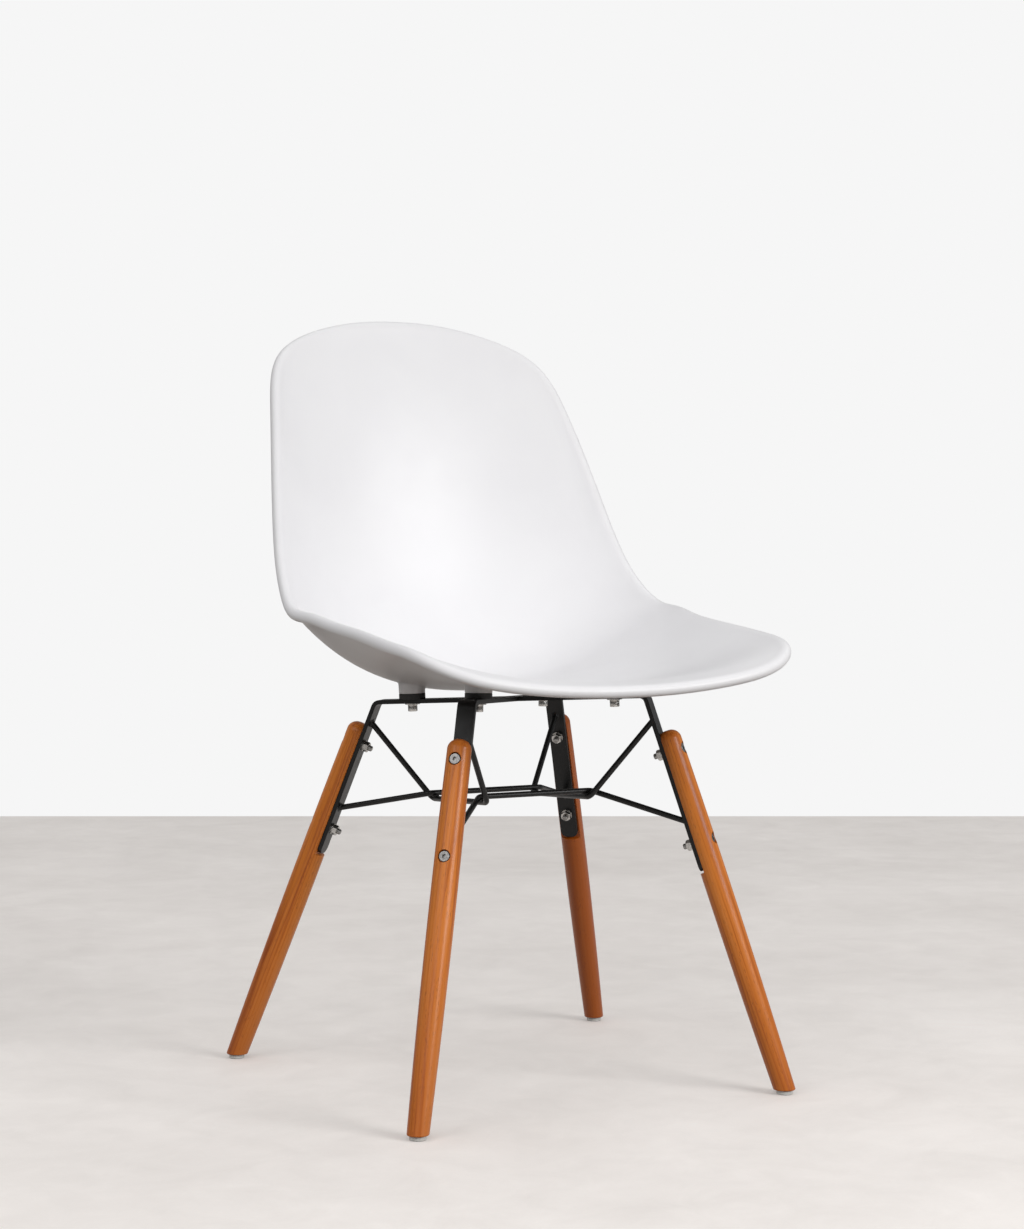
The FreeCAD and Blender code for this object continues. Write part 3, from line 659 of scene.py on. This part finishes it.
class SmoothCurve:
    """Cubic curve through stations, with end slopes from the first and last three points."""

    def __init__(self, stations: Sequence[float], values: Sequence[Sequence[float]]) -> None:
        """Solve the slopes at the stations.

        Args:
            stations: Rising parameters.
            values: A point for each parameter.
        """
        self.stations = np.asarray(stations, float)
        self.values = np.asarray(values, float)
        count = len(self.stations)
        steps = np.diff(self.stations)
        chords = np.diff(self.values, axis=0) / steps[:, None]
        system = np.zeros((count, count))
        right = np.zeros_like(self.values)
        system[0, 0] = 1.0
        right[0] = chords[0] + (chords[0] - chords[1]) * steps[0] / (steps[0] + steps[1])
        system[-1, -1] = 1.0
        right[-1] = chords[-1] + (chords[-1] - chords[-2]) * steps[-1] / (steps[-1] + steps[-2])
        for k in range(1, count - 1):
            system[k, k - 1] = steps[k]
            system[k, k] = 2.0 * (steps[k - 1] + steps[k])
            system[k, k + 1] = steps[k - 1]
            right[k] = 3.0 * (steps[k] * chords[k - 1] + steps[k - 1] * chords[k])
        self.slopes = np.linalg.solve(system, right)

    def at(self, where: np.ndarray) -> np.ndarray:
        """Points of the curve.

        Args:
            where: Parameters.

        Returns:
            A point for each parameter, in the last axis.
        """
        where = np.asarray(where, float)
        k = np.clip(np.searchsorted(self.stations, where, side="right") - 1, 0, len(self.stations) - 2)
        step = self.stations[k + 1] - self.stations[k]
        t = ((where - self.stations[k]) / step)[..., None]
        step = step[..., None]
        return (
            (2 * t**3 - 3 * t**2 + 1) * self.values[k]
            + (t**3 - 2 * t**2 + t) * step * self.slopes[k]
            + (3 * t**2 - 2 * t**3) * self.values[k + 1]
            + (t**3 - t**2) * step * self.slopes[k + 1]
        )


# Layout of the base, in the steel frame's own millimetres


@dataclass(frozen=True)
class BaseLayout:
    """Where the arms, legs, rods and mounts are."""

    height: float = 401.0
    ahead: float = 24.5
    rise: float = 3.5
    bar_angle: float = 44.5
    bar_thickness: float = 4.5
    front_splay: float = 18.8
    rear_splay: float = 21.7
    axis_radius: float = 156.0
    flat_offset: float = 6.8
    mount_radius: float = 110.8
    rubber: float = 6.0
    rod: float = 6.0
    rod_gap: float = 0.2
    ring_depth: float = 103.5
    ring_back: float = 3.8
    side_span: float = 60.0
    side_corner: float = 63.5
    side_front_weld: float = 19.5
    side_rear_weld: float = 29.5
    cross_span: float = 56.5
    cross_corner: float = 65.5
    cross_weld: float = 128.3

    def world(self, points: np.ndarray) -> np.ndarray:
        """Points of the frame, in millimetres, carried to the chair's metres."""
        return (np.asarray(points, float) + [0.0, -self.ahead, self.height]) * MM

    def rise_at(self, along: float) -> float:
        """How far the sloping frame stands above its middle; it rises to the front."""
        return -along * math.tan(math.radians(self.rise))

    def splay(self, corner: Corner) -> float:
        """The splay of a corner's leg, in radians."""
        return math.radians(self.front_splay if corner.value[1] < 0 else self.rear_splay)

    def radial(self, corner: Corner) -> np.ndarray:
        """Plan direction of a corner's arm."""
        angle = math.radians(self.bar_angle)
        return np.array([corner.value[0] * math.cos(angle), corner.value[1] * math.sin(angle), 0.0])

    def at_mount(self, corner: Corner, points: np.ndarray) -> np.ndarray:
        """Carry points of a mount to the frame's axes.

        Args:
            corner: The mount's corner.
            points: Points with X along the bar and Z square to it, from the bar's top face.

        Returns:
            The same points in the frame's millimetres.
        """
        radial = self.radial(corner)
        along = unit(radial + [0.0, 0.0, self.rise_at(radial[1])])
        across = np.cross([0.0, 0.0, 1.0], radial)
        square = np.cross(along, across)
        points = np.asarray(points, float) + [self.mount_radius, 0.0, 0.0]
        return points @ np.stack([along, across, square])

    def ring_corner(self, across: float, along: float, above: float) -> np.ndarray:
        """A point of the rods' ring, measured from its middle, in the frame's millimetres."""
        along += self.ring_back
        return np.array([across, along, above - self.ring_depth + self.rise_at(along)])

    def leg_axes(self, corner: Corner) -> tuple[np.ndarray, np.ndarray, np.ndarray]:
        """A leg's outward, sideways and upward directions in the frame.

        Args:
            corner: The leg's corner.

        Returns:
            The three directions.
        """
        lean = self.splay(corner)
        radial = self.radial(corner)
        up = np.array([0.0, 0.0, 1.0])
        outward = radial * math.cos(lean) + up * math.sin(lean)
        upward = radial * -math.sin(lean) + up * math.cos(lean)
        return outward, np.cross(upward, outward), upward

    def inner_face(self, corner: Corner, down: float) -> np.ndarray:
        """A point of an arm's inner face, in the middle of its width.

        Args:
            corner: The arm's corner.
            down: Distance down the leg's axis.

        Returns:
            The point in the frame's millimetres.
        """
        outward, _, upward = self.leg_axes(corner)
        inward = self.flat_offset + self.bar_thickness
        return self.radial(corner) * self.axis_radius - outward * inward - upward * down


# Shell


@dataclass
class SeatShell:
    """The moulded shell: top, rolled rim, underside and four bosses in one skin.

    Crease and lip are distances in from the rim with heights over the underside; roll is in degrees. The
    flare is how much wider than its radius a boss gets, each with a depth under the underside.
    """

    layout: BaseLayout
    spine: tuple[tuple[float, float], ...] = (
        (-239.0, 19.0), (-221.0, 22.0), (-155.0, 16.0), (-56.0, 14.0), (49.0, 5.5),
        (126.0, 7.0), (176.0, 55.0), (215.0, 152.0), (247.0, 284.0), (288.0, 406.0),
    )
    lift: tuple[tuple[float, float, float], ...] = (
        (0.00, 21.0, 4.0), (0.14, 45.0, 6.0), (0.30, 60.0, 16.0), (0.45, 82.0, 36.0),
        (0.58, 75.0, 55.0), (0.75, 61.0, 66.0), (1.00, 24.0, 70.0),
    )
    rim: tuple[tuple[float, float], ...] = (
        (0.000, 0.0), (0.004, 113.0), (0.043, 204.0), (0.220, 211.0), (0.400, 220.0), (0.530, 214.0),
        (0.700, 197.0), (0.850, 178.0), (0.942, 150.0), (0.989, 76.0), (1.000, 0.0),
    )
    half_width: float = 200.0
    power: float = 2.3
    thickness: float = 5.0
    bead: float = 6.0
    crease: tuple[tuple[float, float], ...] = ((26.0, 5.0), (14.0, 5.1), (6.5, 5.6))
    roll: tuple[int, ...] = (90, 60, 30, 0, -30, -60, -90, -120, -148)
    lip: tuple[tuple[float, float], ...] = ((7.6, -0.7), (11.0, 0.0), (16.0, 0.0), (26.0, 0.0))
    gate: float = 0.31
    flat_share: float = 0.6
    halvings: int = 40
    probe: float = 0.0005
    boss_radius: float = 14.0
    insert_radius: float = 4.6
    insert_depth: float = 8.8
    flare: tuple[tuple[float, float], ...] = ((0.0, 3.0), (0.25, 1.7), (0.8, 0.8), (1.7, 0.25), (3.2, -0.15))
    boss_around: int = 72
    around: int = 320
    inward: int = 56
    over_bead: int = 56

    def __post_init__(self) -> None:
        """Lay out the curves."""
        points = np.array(self.spine)
        runs = np.hypot(*np.diff(points, axis=0).T)
        shares = np.concatenate([[0.0], np.cumsum(runs) / runs.sum()])
        self.centre = SmoothCurve(shares, points + [-self.layout.ahead, self.layout.height])
        self.wing = SmoothCurve([row[0] for row in self.lift], [row[1:] for row in self.lift])
        right = np.array(self.rim)
        loop = np.vstack([right, right[1:-1][::-1] * [1, -1]])
        count = len(loop)
        stations = np.arange(-count, 2 * count + 1) / count
        self.edge = SmoothCurve(stations, np.vstack([loop, loop, loop, loop[:1]]))

    def underside(self, share: np.ndarray, across: np.ndarray) -> np.ndarray:
        """Points of the underside, in millimetres.

        Args:
            share: Shares of the centreline.
            across: Distances from the middle plane.

        Returns:
            The points.
        """
        share = np.clip(share, 0.0, 1.0)
        middle = self.centre.at(share)
        wing = self.wing.at(share)
        rise = wing[..., 0] * (np.abs(across) / self.half_width) ** self.power
        lean = np.radians(wing[..., 1])
        return np.stack([across + 0 * rise, middle[..., 0] - rise * np.sin(lean),
                         middle[..., 1] + rise * np.cos(lean)], axis=-1)

    def normal(self, share: np.ndarray, across: np.ndarray) -> np.ndarray:
        """Unit normals towards the sitter.

        Args:
            share: Shares of the centreline.
            across: Distances from the middle plane.

        Returns:
            The normals.
        """
        along = self.underside(share + self.probe, across) - self.underside(share - self.probe, across)
        sideways = self.underside(share, across + 0.1) - self.underside(share, across - 0.1)
        return unit(np.cross(sideways, along))

    def _sections(self) -> np.ndarray:
        """Radial sections from the gate over the rim and back below.

        Returns:
            Points in millimetres: sections, points of a section, coordinates.
        """
        stations = np.arange(self.around) / self.around
        edge = self.edge.at(stations)
        share, across = edge[:, 0], edge[:, 1]
        before = self.edge.at(stations - self.probe)
        after = self.edge.at(stations + self.probe)
        tangent = unit(self.underside(after[:, 0], after[:, 1]) - self.underside(before[:, 0], before[:, 1]))
        bead = self.underside(share, across)
        outward = unit(np.cross(tangent, self.normal(share, across)))
        upward = unit(np.cross(outward, tangent))
        gate = self.underside(np.array([self.gate]), np.array([0.0]))[0]
        reach = np.linalg.norm(bead - gate, axis=1)

        def inside(part: np.ndarray, height: float) -> np.ndarray:
            """Points at shares of the way from gate to rim, raised off the underside."""
            place = self.gate + part * (share - self.gate)
            return self.underside(place, part * across) + self.normal(place, part * across) * height

        def near(distance: float, height: float) -> np.ndarray:
            """Points a distance in from the rim."""
            return inside(1.0 - distance / reach, height)

        knots = [near(distance, height) for distance, height in self.crease]
        for angle in self.roll:
            turn = math.radians(angle)
            knots.append(bead + (outward * math.cos(turn) + upward * math.sin(turn)) * self.bead)
        knots += [near(distance, height) for distance, height in self.lip]
        knots = np.array(knots)
        gaps = np.linalg.norm(np.diff(knots, axis=0), axis=2).mean(axis=1)
        curve = SmoothCurve(np.concatenate([[0.0], np.cumsum(gaps)]), knots.reshape(len(knots), -1))
        turns = np.linspace(0.0, gaps.sum(), self.over_bead)
        rolled = curve.at(turns).reshape(self.over_bead, self.around, 3)
        limit = 1.0 - self.crease[0][0] / reach
        parts = np.linspace(0.0, 1.0, self.inward + 1)[1:-1]
        upper = np.array([inside(part * limit, self.thickness) for part in parts])
        lower = np.array([inside(part * limit, 0.0) for part in parts[::-1]])
        return np.concatenate([upper, rolled, lower], axis=0)

    def build(self, material: Material) -> bpy.types.Object:
        """Make the skin and its bosses.

        Args:
            material: The plastic.

        Returns:
            The piece.
        """
        rows = self._sections()
        count = rows.shape[0]
        faces = grid_faces(count, self.around)
        points = rows.reshape(-1, 3)
        normal = self.normal(np.array([self.gate]), np.array([0.0]))[0]
        gate = self.underside(np.array([self.gate]), np.array([0.0]))[0]
        top = len(points)
        points = np.vstack([points, gate + normal * self.thickness, gate])
        last = (count - 1) * self.around
        for k in range(self.around):
            beside = (k + 1) % self.around
            faces.append((top, beside, k))
            faces.append((top + 1, last + k, last + beside))
        points, faces = join_blocks([(points, faces)] + [self._boss(corner) for corner in Corner])
        piece = new_piece("shell_skin", points * MM, faces, material)
        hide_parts("seat_shell")
        return piece

    def _boss(self, corner: Corner) -> Block:
        """One boss, flared where it meets the underside and open for its insert.

        Args:
            corner: The boss's corner.

        Returns:
            Its points in millimetres, and its faces.
        """
        ring = circle(self.boss_around)[1]
        base = self.layout.rubber
        profile = [
            (self.insert_radius, base + self.insert_depth), (self.insert_radius, base),
            (self.boss_radius - 0.8, base), (self.boss_radius - 0.24, base + 0.24),
            (self.boss_radius, base + 0.8),
        ]
        rows = [self._mounted(corner, ring * radius + [0, 0, height]) for radius, height in profile]
        for radius, drop in self.flare:
            wall = self._mounted(corner, ring * (self.boss_radius + radius) + [0, 0, base])
            lift = self._under(wall)[:, 2:] - wall[:, 2:]
            wall = self._mounted(corner, ring * (self.boss_radius + radius) + lift * [0, 0, 1] + [0, 0, base])
            rows.append(self._under(wall) - [0, 0, drop])
        return np.vstack(rows), grid_faces(len(rows), self.boss_around)

    def _mounted(self, corner: Corner, points: np.ndarray) -> np.ndarray:
        """Carry points of a mount to the chair's millimetres."""
        return self.layout.world(self.layout.at_mount(corner, points)) / MM

    def _under(self, points: np.ndarray) -> np.ndarray:
        """Points of the underside straight over given points.

        Args:
            points: Points in millimetres.

        Returns:
            The points over them.
        """
        low = np.zeros(len(points))
        high = np.full(len(points), self.flat_share)
        for _ in range(self.halvings):
            middle = (low + high) / 2
            ahead = self.underside(middle, points[:, 0])[:, 1] < points[:, 1]
            low = np.where(ahead, middle, low)
            high = np.where(ahead, high, middle)
        return self.underside((low + high) / 2, points[:, 0])


def unit(vectors: np.ndarray) -> np.ndarray:
    """Vectors of length one."""
    return vectors / np.linalg.norm(vectors, axis=-1, keepdims=True)


# Steel frame


@dataclass
class SteelFrame:
    """Flat bars and rods with the weld beads that join them."""

    layout: BaseLayout
    bead_foot: float = 2.0
    bead_rise: float = 2.2
    bead_hollow: float = 1.6
    bead_sink: float = 0.1
    bead_around: int = 64
    bead_rows: int = 7
    lump_height: float = 1.9
    lump_around: int = 40
    lump_rows: int = 9

    def dress(self, material: Material) -> None:
        """Finish the bars and rods.

        Args:
            material: The powder coat.
        """
        names = ["flat_bar_through", "flat_bar_front_half", "flat_bar_rear_half"]
        names += ["side_rod_right", "side_rod_left", "cross_rod_front", "cross_rod_rear"]
        for name in names:
            dress_node(name, material)

    def build(self, material: Material) -> bpy.types.Object:
        """Make every weld bead as one piece.

        Args:
            material: The powder coat.

        Returns:
            The piece.
        """
        blocks: list[Block] = []
        for corner in Corner:
            for down, knee in self._rod_runs(corner):
                blocks.append(self._end_bead(corner, down, knee, len(blocks) + 1))
        for corner in Corner:
            blocks.append(self._cross_bead(corner, len(blocks) + 1))
        points, faces = join_blocks(blocks)
        return new_piece("rod_weld_beads", self.layout.world(points), faces, material)

    def _rod_runs(self, corner: Corner) -> list[tuple[float, np.ndarray]]:
        """The rods that end on a corner's arm, as distance down the leg and the rod's next corner.

        Args:
            corner: The arm's corner.

        Returns:
            One entry for the side rod and one for the cross rod.
        """
        side_x, side_y = corner.value
        layout = self.layout
        step = (layout.rod + layout.rod_gap) / 2
        side = layout.ring_corner(side_x * layout.side_span, side_y * layout.side_corner, -step)
        cross = layout.ring_corner(side_x * layout.cross_corner, side_y * layout.cross_span, step)
        side_weld = layout.side_front_weld if side_y < 0 else layout.side_rear_weld
        return [(side_weld, side), (layout.cross_weld, cross)]

    def _end_bead(self, corner: Corner, down: float, knee: np.ndarray, seed: int) -> Block:
        """A bead round a rod where it meets an arm's inner face.

        Args:
            corner: The arm's corner.
            down: Distance of the rod's end down the leg.
            knee: The rod's next corner.
            seed: Number that sets this bead's ripple apart.

        Returns:
            Its points in the frame's millimetres, and its faces.
        """
        outward, side, _ = self.layout.leg_axes(corner)
        end = self.layout.inner_face(corner, down)
        axis = unit(knee - end)
        lean = -float(np.dot(axis, outward))
        radius = self.layout.rod / 2
        turns, ring = circle(self.bead_around)
        ripple = 1.0 + 0.16 * np.sin(11 * turns + seed) + 0.08 * np.sin(5 * turns + 2.3 * seed)
        first = unit(side - axis * float(np.dot(side, axis)))
        second = np.cross(axis, first)
        spoke = first * ring[:, :1] + second * ring[:, 1:2]
        rows = []
        for share in np.linspace(0.0, 1.0, self.bead_rows):
            climb = self.bead_rise * (1.0 - share) ** self.bead_hollow
            spread = self.bead_foot * share ** self.bead_hollow
            place = end + spoke * (radius + spread * ripple)[:, None]
            lift = -((place - end) @ -outward) / lean
            place = place + axis * (lift + climb * ripple)[:, None]
            rows.append(place - axis * self.bead_sink)
        return np.vstack(rows), grid_faces(self.bead_rows, self.bead_around)

    def _cross_bead(self, corner: Corner, seed: int) -> Block:
        """A small lump of weld where a side rod passes under a cross rod.

        Args:
            corner: The nearest corner.
            seed: Number that sets this bead's shape apart.

        Returns:
            Its points in the frame's millimetres, and its faces.
        """
        side_x, side_y = corner.value
        centre = self.layout.ring_corner(side_x * self.layout.side_span, side_y * self.layout.cross_span, 0.0)
        turns, ring = circle(self.lump_around)
        reach = self.layout.rod * (0.58 + 0.10 * np.cos(4 * turns) + 0.03 * np.sin(7 * turns + seed))
        rows = []
        for level in np.linspace(-1.0, 1.0, self.lump_rows):
            width = math.sqrt(max(1.0 - level**2, 0.0))
            rows.append(centre + ring * (reach * width)[:, None] + [0.0, 0.0, self.lump_height * level])
        return np.vstack(rows), grid_faces(self.lump_rows, self.lump_around)


# Legs


@dataclass
class Legs:
    """Four wooden legs, each with a figure of its own."""

    layout: BaseLayout
    length: float = 430.0
    darkest: Corner = Corner.REAR_LEFT
    stain_and_shade_depth: float = 0.8

    def dress(self) -> None:
        """Finish each leg with its grain along its axis."""
        wood = StainedWood()
        for seed, corner in enumerate(Corner):
            origin = self.layout.radial(corner) * self.layout.axis_radius
            axes = self.layout.leg_axes(corner)
            start = self.layout.world(origin)
            ends = [self.layout.world(origin + axis * 100.0) - start for axis in axes]
            directions = tuple(Vector(end).normalized() for end in ends)
            # The rear-left leg is darkened all over: partly its own stain, partly painted shade from the seat
            # over it.
            depth = self.stain_and_shade_depth if corner is self.darkest else 0.0
            material = wood.make(corner.label, Vector(start), directions, self.length * MM, seed, depth)
            dress_node("leg_" + corner.label, material)


# Fasteners and small parts


@dataclass
class SeatFasteners:
    """Screws, washers, rubbers and inserts that hold the shell to the bars."""

    layout: BaseLayout
    screw_radius: float = 3.0
    screw_length: float = 20.0
    head_radius: float = 5.0
    head_height: float = 6.0
    socket: float = 5.0
    socket_depth: float = 3.0
    knurls: int = 36
    knurl_depth: float = 0.16
    pitch: float = 1.0
    rings_per_pitch: int = 6
    thread_depth: float = 0.45
    washer: float = 1.2
    spring_outer: float = 5.2
    spring_inner: float = 3.3
    spring_height: float = 1.5
    split: float = 8.0
    split_slant: float = 0.12

    def dress(self, finishes: Finishes) -> None:
        """Finish the pieces that keep their shape.

        Args:
            finishes: The chair's finishes.
        """
        dress_node("seat_inserts", finishes.brass)
        dress_node("mount_washers", finishes.zinc)
        for corner in Corner:
            dress_node("rubber_mount_" + corner.label, finishes.rubber)

    def build(self, finishes: Finishes) -> None:
        """Make the knurled screws and the split washers.

        Args:
            finishes: The chair's finishes.
        """
        for name, node, maker in (
            ("knurled_screws", "mount_screws", self._screw),
            ("split_washers", "mount_spring_washers", self._split_washer),
        ):
            block, block_faces = maker()
            blocks = [(self.layout.at_mount(corner, block), block_faces) for corner in Corner]
            points, faces = join_blocks(blocks)
            piece = new_piece(name, self.layout.world(points), faces, finishes.zinc)
            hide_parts(node)

    @property
    def _seat(self) -> float:
        """Height of the screw head's bearing face over the bar's top face."""
        return -self.layout.bar_thickness - self.washer - self.spring_height

    def _screw(self) -> Block:
        """A cap screw with a knurled head, a hexagon socket and a cut thread.

        Returns:
            Its points in the mount's millimetres, and its faces.
        """
        count = self.knurls * 4
        turns, ring = circle(count)
        bottom = self._seat - self.head_height
        knurl = self.knurl_depth * (0.5 - 0.5 * np.cos(self.knurls * turns))
        half = self.socket / 2
        wedge = np.mod(turns, math.pi / 3) - math.pi / 6
        hexagon = half / np.cos(wedge)
        rows = [
            (0.4 * hexagon, bottom + self.socket_depth + 0.2),
            (hexagon, bottom + self.socket_depth),
            (hexagon, bottom + 0.3),
            (hexagon + 0.25, bottom),
            (self.head_radius - 0.7, bottom),
            (self.head_radius - 0.2, bottom + 0.2),
            (self.head_radius - knurl, bottom + 0.7),
            (self.head_radius - knurl, self._seat - 0.5),
            (self.head_radius - 0.2, self._seat - 0.15),
            (self.head_radius - 0.3, self._seat),
            (self.screw_radius, self._seat),
        ]
        tip = self._seat + self.screw_length
        step = self.pitch / self.rings_per_pitch
        for k in range(int((self.screw_length - self.pitch) / step)):
            height = self._seat + 0.4 + k * step
            cut = 0.5 - 0.5 * np.cos(2 * math.pi * height / self.pitch - turns)
            rows.append((self.screw_radius - 0.05 - self.thread_depth * cut, height))
        rows += [(2.3, tip - 0.1), (0.2, tip)]
        blocks = [ring * np.reshape(radius, (-1, 1)) + [0.0, 0.0, height] for radius, height in rows]
        return np.vstack(blocks), capped(len(rows), count)

    def _split_washer(self) -> Block:
        """A flattened split washer with a slanting cut.

        Returns:
            Its points in the mount's millimetres, and its faces.
        """
        low = self._seat
        high = low + self.spring_height
        turns = np.linspace(math.radians(self.split), math.radians(360 - self.split), 96)
        corners = [
            (self.spring_inner, low + 0.1), (self.spring_inner + 0.1, low), (self.spring_outer - 0.2, low),
            (self.spring_outer, low + 0.2), (self.spring_outer, high - 0.2), (self.spring_outer - 0.2, high),
            (self.spring_inner + 0.1, high), (self.spring_inner, high - 0.1),
        ]
        points = []
        for turn in turns:
            for radius, height in corners:
                slant = self.split_slant * (height - low) / self.spring_height
                points.append((radius * math.cos(turn + slant), radius * math.sin(turn + slant), height))
        return np.array(points), capped(len(turns), len(corners))


@dataclass
class LegFasteners:
    """Bolts, washers and nuts of the legs."""

    def dress(self, finishes: Finishes) -> None:
        """Finish the fasteners, the bolts duller than the rest.

        Args:
            finishes: The shared finishes.
        """
        for corner in Corner:
            dress_node("leg_bolts_" + corner.label, finishes.bolt)
            for kind in ("leg_washers_", "leg_nuts_"):
                dress_node(kind + corner.label, finishes.zinc)


@dataclass
class Glides:
    """Plastic glides and their nails."""

    def dress(self, finishes: Finishes) -> None:
        """Finish the glides and nails.

        Args:
            finishes: The chair's finishes.
        """
        for corner in Corner:
            dress_node("glide_" + corner.label, finishes.glide)
        dress_node("glide_nails", finishes.zinc)


# Studio


@dataclass(frozen=True)
class Lamp:
    """One square soft lamp: where it hangs, its side in metres and its watts."""

    name: str
    place: tuple[float, float, float]
    size: float
    power: float

    def hang(self, target: Sequence[float]) -> None:
        """Hang the lamp.

        Args:
            target: Where it points.
        """
        data = bpy.data.lights.new(self.name, "AREA")
        data.shape = "SQUARE"
        data.size = self.size
        data.energy = self.power
        lamp = put_in_scene(self.name, data)
        lamp.location = self.place
        lamp.rotation_euler = (Vector(target) - lamp.location).to_track_quat("-Z", "Y").to_euler()
        LOG.info("lamp %s hung", self.name)


@dataclass
class Studio:
    """Floor, light and camera."""

    camera_place: tuple[float, float, float] = (-1.22658, -2.36291, 0.58181)
    yaw: float = 0.48304
    pitch: float = -0.03586
    focal_pixels: float = 2520.28
    picture_height: float = 1229.0
    sensor: float = 36.0
    floor_edge: float = 5.005
    floor_side: float = 5.0
    floor_lines: int = 9
    backdrop: float = 0.922
    mirrored: float = 0.3
    dark_room: float = 0.14
    ambient: float = 0.57
    low_share: float = 0.2
    horizon: tuple[float, float] = (-0.15, 0.5)
    turn_away: tuple[float, float] = (-0.25, 0.35)
    target: tuple[float, float, float] = (0.0, 0.0, 0.5)
    lamps: tuple[Lamp, ...] = (
        Lamp("side_softbox", (-2.4, -0.8, 2.1), 1.5, 14.0),
        Lamp("left_softbox", (-1.7, -2.7, 2.1), 1.6, 15.0),
        Lamp("right_softbox", (1.5, -2.9, 1.6), 1.5, 56.0),
    )

    def build(self) -> None:
        """Make the whole studio."""
        self._floor()
        self._world()
        for lamp in self.lamps:
            lamp.hang(self.target)
        self._camera()

    def _camera(self) -> None:
        """Place the camera at the photograph's angle."""
        data = bpy.data.cameras.new("camera")
        data.sensor_fit = "VERTICAL"
        data.sensor_height = self.sensor
        data.lens = self.focal_pixels / self.picture_height * self.sensor
        camera = put_in_scene("camera", data)
        camera.location = self.camera_place
        camera.rotation_euler = (math.pi / 2 + self.pitch, 0.0, -self.yaw)
        bpy.context.scene.camera = camera
        LOG.info("camera placed")

    def _floor(self) -> None:
        """Lay the floor, its far edge square to the camera."""
        build = bmesh.new()
        ahead = Vector((math.sin(self.yaw), math.cos(self.yaw), 0.0))
        aside = Vector((math.cos(self.yaw), -math.sin(self.yaw), 0.0))
        eye = Vector((self.camera_place[0], self.camera_place[1], 0.0))
        rows = []
        for distance in np.linspace(self.floor_edge, self.floor_edge - 2 * self.floor_side, self.floor_lines):
            row = []
            for side in np.linspace(-self.floor_side, self.floor_side, self.floor_lines):
                row.append(build.verts.new(eye + ahead * float(distance) + aside * float(side)))
            rows.append(row)
        for near, far in zip(rows, rows[1:]):
            for k in range(len(near) - 1):
                build.faces.new((near[k], near[k + 1], far[k + 1], far[k]))
        bmesh.ops.recalc_face_normals(build, faces=build.faces)
        mesh = bpy.data.meshes.new("studio_floor")
        build.to_mesh(mesh)
        build.free()
        mesh.materials.append(ConcreteFloor().make())
        put_in_scene("studio_floor", mesh)
        LOG.info("floor laid")

    def _world(self) -> None:
        """Soft light from all round; the camera sees a pale backdrop, reflections see it behind the chair."""
        world = bpy.data.worlds.new("studio")
        world.use_nodes = True
        graph = Graph(world.node_tree)
        path = graph.add("LightPath").outputs
        heading = graph.add("TexCoord").outputs["Generated"]
        upward = self._toward(graph, heading, (0.0, 0.0, 1.0), self.horizon)
        ahead = self._toward(graph, heading, (math.sin(self.yaw), math.cos(self.yaw), 0.0), self.turn_away)
        lights = self._glow(graph, upward, self.low_share * self.ambient, self.ambient)
        mirrored = self._glow(graph, ahead, self.dark_room, self.mirrored)
        seen = self._glow(graph, 1.0, self.dark_room, self.backdrop)
        reflected = graph.math("MAXIMUM", path["Is Glossy Ray"], path["Is Transmission Ray"])
        lit = graph.add("MixShader", {0: reflected, 1: lights, 2: mirrored}).outputs[0]
        whole = graph.add("MixShader", {0: path["Is Camera Ray"], 1: lit, 2: seen}).outputs[0]
        graph.add("OutputWorld", {"Surface": whole})
        bpy.context.scene.world = world
        LOG.info("world lit")

    @staticmethod
    def _toward(graph: Graph, heading: Socket, axis: Sequence[float], cosines: tuple[float, float]) -> Socket:
        """How far a direction points along an axis, from 0 at one cosine to 1 at the other."""
        return graph.span(graph.along(heading, axis), *cosines, curve="SMOOTHSTEP")

    @staticmethod
    def _glow(graph: Graph, share: object, low: float, high: float) -> Socket:
        """A neutral background, its share of the way from a low strength to a high one."""
        strength = graph.span(share, 0.0, 1.0, low, high)
        return graph.add("Background", {"Color": (1.0, 1.0, 1.0, 1.0), "Strength": strength}).outputs[0]


def main() -> None:
    """Build every sub-assembly in order."""
    logging.basicConfig(level=logging.INFO, format="%(name)s: %(message)s")
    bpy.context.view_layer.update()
    bpy.context.scene.view_settings.view_transform = "Standard"
    layout = BaseLayout()
    finishes = Finishes()
    SeatShell(layout).build(finishes.shell)
    steel = SteelFrame(layout)
    steel.dress(finishes.black)
    steel.build(finishes.black)
    Legs(layout).dress()
    seat = SeatFasteners(layout)
    seat.dress(finishes)
    seat.build(finishes)
    LegFasteners().dress(finishes)
    Glides().dress(finishes)
    Studio().build()


if __name__ == "__main__":
    main()
